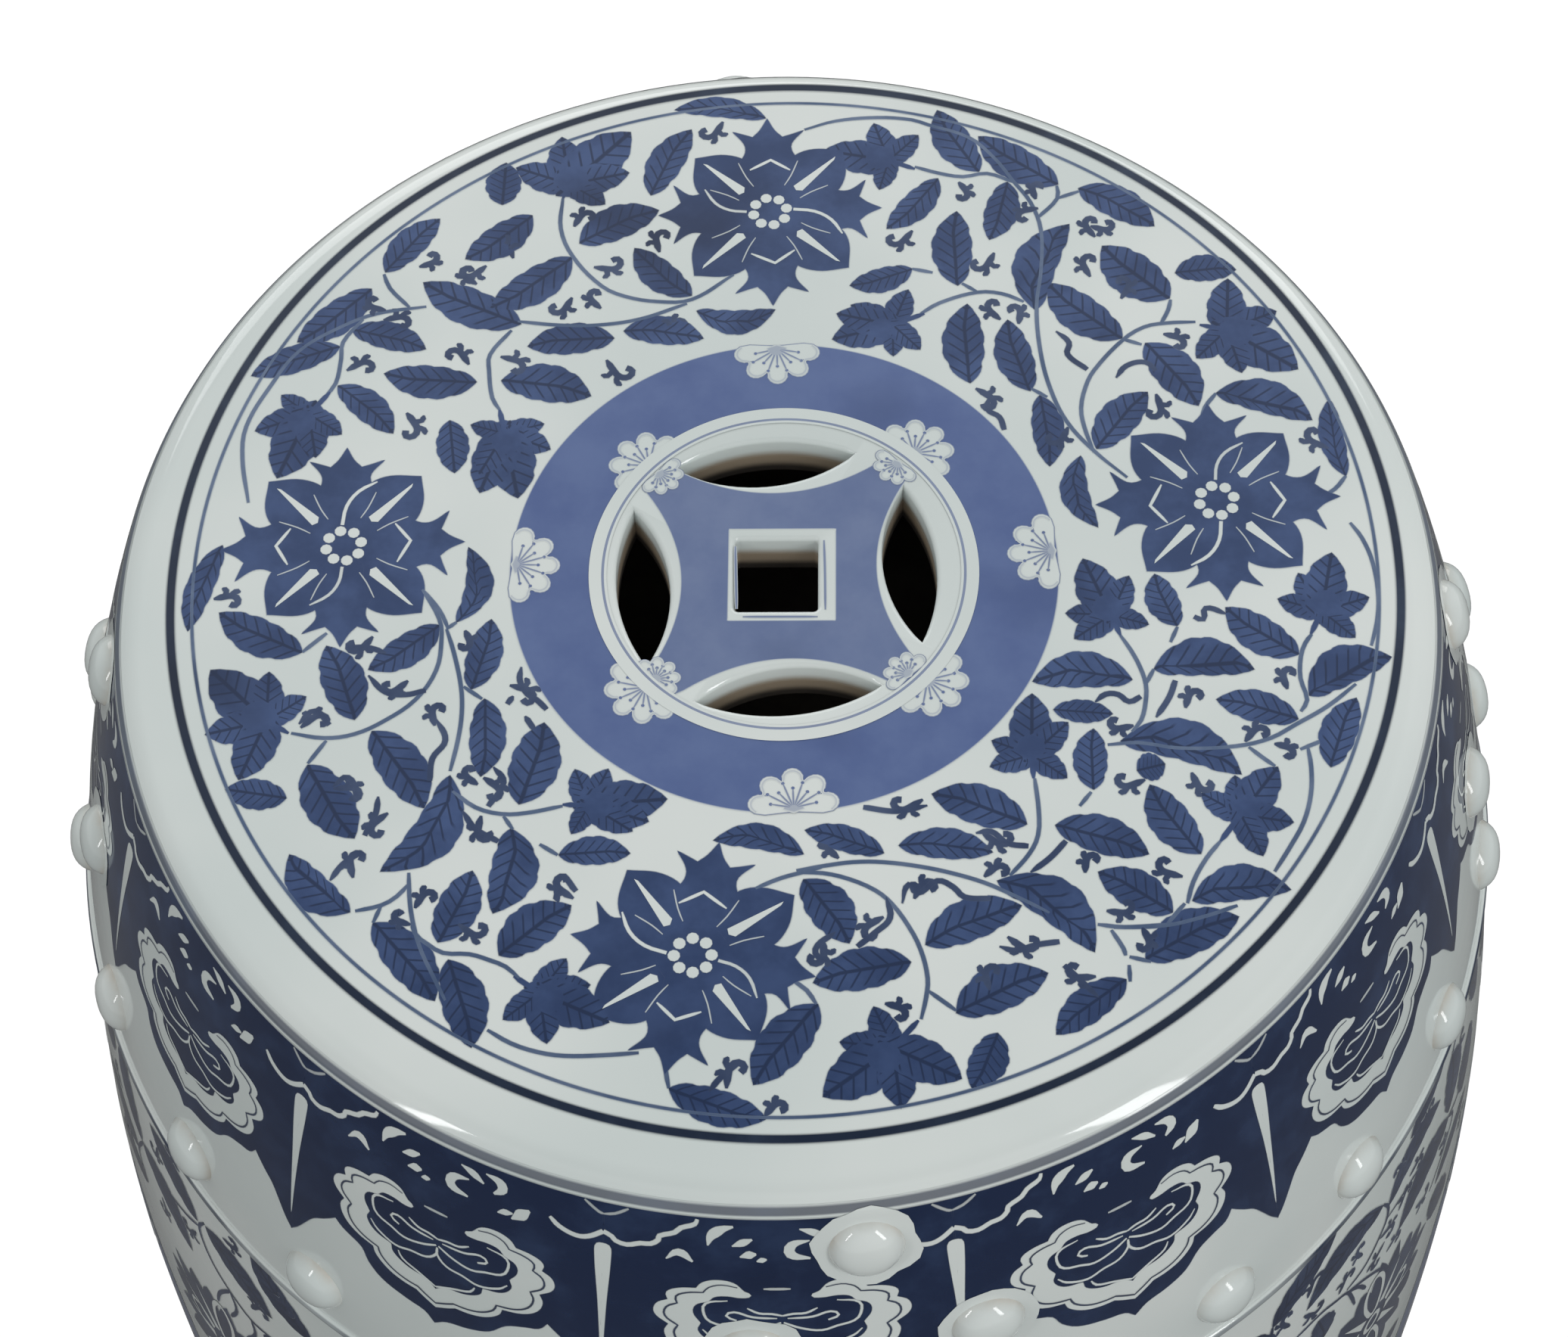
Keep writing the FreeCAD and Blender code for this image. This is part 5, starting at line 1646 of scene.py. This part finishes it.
for drawing, stem, turns in ((SCROLL, "scroll", (51.5, 181, 233.5)),
                             (GARLAND, "garland", (-1, -53.5, 128.5))):
    sheet = new_sheet()
    draw(sheet, drawing)
    barrel_flower(sheet)
    painted_copies(stem, turns, sheet)
for drawing, hand, stem, turns in (
    (SIDE_SPRIG, -1, "left_sprig", (51.5, -1, 181, 233.5)),
    (SIDE_SPRIG, 1, "right_sprig", (-53.5, -1, 128.5, 181)),
    (MIDDLE_SPRIG, 1, "middle_sprig", (51.5, -1, -53.5, 128.5, 181, 233.5)),
):
    sheet = new_sheet(8)
    draw(sheet, drawing, hand)
    painted_copies(stem, turns, sheet)
sheet = new_sheet(18)
draw(sheet, COLUMN)
painted_copies("column", (25.25, -27.25, 154.75, 207.25), sheet)
sheet = new_sheet(26)
draw(sheet, SPRAY, -1)
draw(sheet, SPRAY, 1)
draw(sheet, {"curl": ((0.0, 129, 3.6, 90, 1),)})
painted_copies("spray", (90, 270), sheet)

# Painting round the pierced sides
# The coin in each side is outlined and washed as the one in the seat is, inside a ring of wash with
# four half blossoms on it. It is thin cobalt, brushed on the clay before the glaze.
def right_side_place(x, y):
    z = middle + y * MM
    across = x * MM
    radius = drum_at(z)[0]
    spot = Vector((sqrt(radius ** 2 - across ** 2), across, z))
    normal = drum_normal(*spot)
    return spot + normal * DRUM_CLEARANCE, normal


for side, angle in (("right", 0), ("left", 180)):
    sheet = new_sheet(33)
    coin_field(sheet, (0, 0), (43.6,) * 4, 0.0071, 68.6, 20.6, 0.0, steps=288, soft=0.4)
    band(sheet, 79.5, 87.5, soft=0.5, steps=288)
    band(sheet, 76.4, 77.1, soft=0.3, steps=288)
    for quarter in range(4):
        a = pi / 4 + quarter * pi / 2
        half_blossom(sheet, 79.6 * cos(a), 79.6 * sin(a), 7.2, a)
    coin = lay(sheet, f"{side}_side_coin", wash_blue, right_side_place, cells=CELLS)
    coin.data.transform(Matrix.Rotation(radians(angle), 4, "Z"))

# Bare clay round the bosses
# The bosses were pressed on before painting and the wash was kept off them, which left a ragged white
# ring round each one that stands on the blue collar.
HALO_POINTS = 26
sheet = new_sheet()
for number, (angle, depth) in enumerate(trio_places):
    cx, cy = (degrees(angle) + 90) * MM_PER_DEGREE, -depth / MM
    points = []
    scale = SHEET_RADIUS * MM / drum_at(FULL_HEIGHT - depth)[0]
    for k in range(HALO_POINTS):
        a = tau * k / HALO_POINTS
        r = 10.2 + 1.5 * smooth_noise(Vector((2.2 * cos(a), 2.2 * sin(a), number * 3.7)))
        points.append((cx + r * cos(a) * scale, cy + r * sin(a)))
    mark(sheet, points, 3, 0.0, 0.0, 0.1)
turned_copies(lay(sheet, "boss_halos", lappet_blue, drum_place, cells=CELLS), "boss_halos", (0,))
